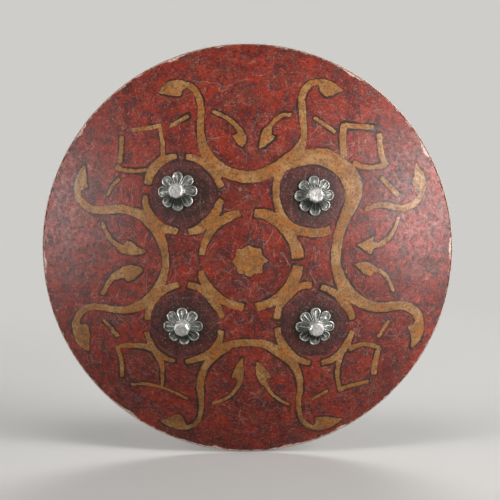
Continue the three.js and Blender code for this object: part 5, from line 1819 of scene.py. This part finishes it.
def knucklePad():
    piece = stuffed(nodes["knuckle_pad"], "stuffed_knuckle_pad")
    movePoints(piece.data, sewnIn(pointsOf(piece.data)))
    allSmooth(piece.data)
    finer = piece.modifiers.new("finer", "SUBSURF")
    finer.levels = finer.render_levels = 1
    applyModifiers(piece)
    settle(outward(piece), "shield", "pad_cloth", "padCloth", "knuckle_pad")

    # Piping: a covered cord along the seam
    x, z = padOutline(*squareEdge(72), padHalf - cushion["pipingInset"])
    line = onFloor(padFloor, x, z, np.full(len(x), cushion["seamHeight"]))
    for _ in range(3):
        line = (np.roll(line, 1, 0) + 2 * line + np.roll(line, -1, 0)) / 4
    twist = onceRound(len(line)) * cushion["pipingTwists"]
    radius = cushion["piping"] / 2 * (1 + 0.03 * np.sin(twist))
    parts = wire(line, radius, 12, domeCentre - line, wrap=True)
    addPiece("pad_piping", *parts, "shield", "pad_cloth", "padCloth")


padBase()
knucklePad()
print("cushion made:", "blown up by cloth simulation")


# Loose fibres of the hide that stand out at the cut edge
fibres = {
    "count": 260,
    "shortest": 0.8 * mm,
    "longest": 3.4 * mm,
    "thickness": 0.16 * mm,
    "tipShare": 0.35,
    "rooted": 1.0 * mm,  # how deep they start in the edge
    "edgeSpan": (0.2 * mm, 4.0 * mm),  # where they start, from the front corner back
    "leans": (0.7, 0.5),  # spread of their leaning, round the rim and front to back
}


def rimFibres():
    # Each is a bent three-sided taper: root + out * t * length + bend * t squared, thinner towards its tip
    s = fibres
    draw = np.random.default_rng(7)
    parts = []
    t = np.linspace(0, 1, 5)[:, None]
    size = s["thickness"] / 2 * np.linspace(1, s["tipShare"], len(t))
    for _ in range(s["count"]):
        turn = draw.uniform(0, 2 * math.pi)
        way = np.array([math.cos(turn), 0, math.sin(turn)])
        tangent = np.array([-math.sin(turn), 0, math.cos(turn)])
        length = s["shortest"] + (s["longest"] - s["shortest"]) * draw.random() ** 2.2
        root = way * (shieldRadius - s["rooted"]) + np.array([0, rimY + draw.uniform(*s["edgeSpan"]), 0])
        lean = tangent * draw.normal(0, s["leans"][0]) + np.array([0, draw.normal(0, s["leans"][1]), 0])
        line = root + way * (length + 0.8 * mm) * t + lean * length * t**2
        parts.append(wire(line, size, 3, tangent))
    settle(makePiece("rim_fibres", *joinParts(parts)), "shield", "painted_hide", "rawHide")


rimFibres()
print("rim fibres made:", fibres["count"])


# Floor, light and background
studio = {
    "floorDrop": 1.0 * mm,
    "floorSize": 9.0,
    "floorColour": (0.50, 0.49, 0.475),
    "bounceColour": (0.10, 0.10, 0.10),
    "backgroundColour": (0.62, 0.61, 0.59),
    "fadeFrom": 0.55,
    "fadeTo": 1.5,
    "ambient": 0.11,
    "glossy": 0.45,
}


def makeFloor():
    # A floor that fades with distance into the background's colour, for the camera and in reflections,
    # and that throws only bounceColour back up at the object
    far, level = studio["floorSize"], low.z - studio["floorDrop"]
    sheet = [(-far, -far, level), (far, -far, level), (far, far, level), (-far, far, level)]
    floor = makePiece("floor", sheet, [(0, 1, 2, 3)])
    f = Finish("floorPaper")
    rays = f.node("LightPath").outputs
    colour = f.mix(rays["Is Diffuse Ray"], studio["floorColour"], studio["bounceColour"])
    f.set(Base_Color=colour, Roughness=0.9, Specular_IOR_Level=0.1)
    distance = f.node("VectorMath")
    distance.operation = "LENGTH"
    f.put(distance.inputs[0], f.coords)
    fade = f.span(distance.outputs["Value"], studio["fadeFrom"], studio["fadeTo"])
    glow = f.node("Emission", Color=studio["backgroundColour"])
    blend = f.node("MixShader")
    seen = f.math("MAXIMUM", rays["Is Camera Ray"], rays["Is Glossy Ray"])
    f.put(blend.inputs[0], f.times(fade, seen))
    f.put(blend.inputs[1], f.shader.outputs[0])
    f.put(blend.inputs[2], glow.outputs[0])
    f.put(f.tree.nodes["Material Output"].inputs["Surface"], blend.outputs[0])
    floor.data.materials.append(f.material)


def makeWorld():
    # Full strength for the camera, and much less as light and in reflections
    world = bpy.data.worlds.new("studio")
    scene.world = world
    world.use_nodes = True
    n = Nodes(world.node_tree)
    rays = n.node("LightPath").outputs
    glossy = n.node("MapRange", Value=rays["Is Glossy Ray"])
    n.put(glossy.inputs["To Min"], studio["ambient"])
    n.put(glossy.inputs["To Max"], studio["glossy"])
    background = n.tree.nodes["Background"].inputs
    n.put(background["Color"], studio["backgroundColour"])
    n.put(background["Strength"], n.math("MAXIMUM", rays["Is Camera Ray"], glossy.outputs[0]))


# A lamp gives light, gloss, or both: the top and side lamps give light alone, and the strips gloss alone
lamps = {
    "top": {"place": (-0.1, -1.0, 2.05), "size": (0.9, 0.6), "power": 14, "gloss": False},
    "rightSide": {"place": (1.95, -1.0, 0.5), "size": (0.8, 1.4), "power": 71, "gloss": False},
    "leftSide": {"place": (-2.0, -1.0, 0.5), "size": (0.8, 1.4), "power": 36, "gloss": False},
    "rightStrip": {"place": (1.95, -1.05, 0.25), "size": (0.7, 1.5), "power": 152, "light": False},
    "leftStrip": {"place": (-2.05, -0.9, 0.1), "size": (0.6, 1.4), "power": 80, "light": False},
    "behind": {"place": (0.4, 2.3, 1.5), "size": (1.6, 1.2), "power": 58},
}


def makeLamps():
    for name, lamp in lamps.items():
        data = bpy.data.lights.new(name, "AREA")
        data.shape = "RECTANGLE"
        data.size, data.size_y = lamp["size"]
        data.energy = lamp["power"]
        light = bpy.data.objects.new(name, data)
        light.location = lamp["place"]
        light.rotation_euler = (-Vector(lamp["place"])).to_track_quat("-Z", "Y").to_euler()
        light.visible_glossy = lamp.get("gloss", True)
        light.visible_diffuse = lamp.get("light", True)
        scene.collection.objects.link(light)


makeFloor()
makeWorld()
makeLamps()
print("studio made:", len(lamps), "lamps")
scene.view_settings.view_transform = "Standard"
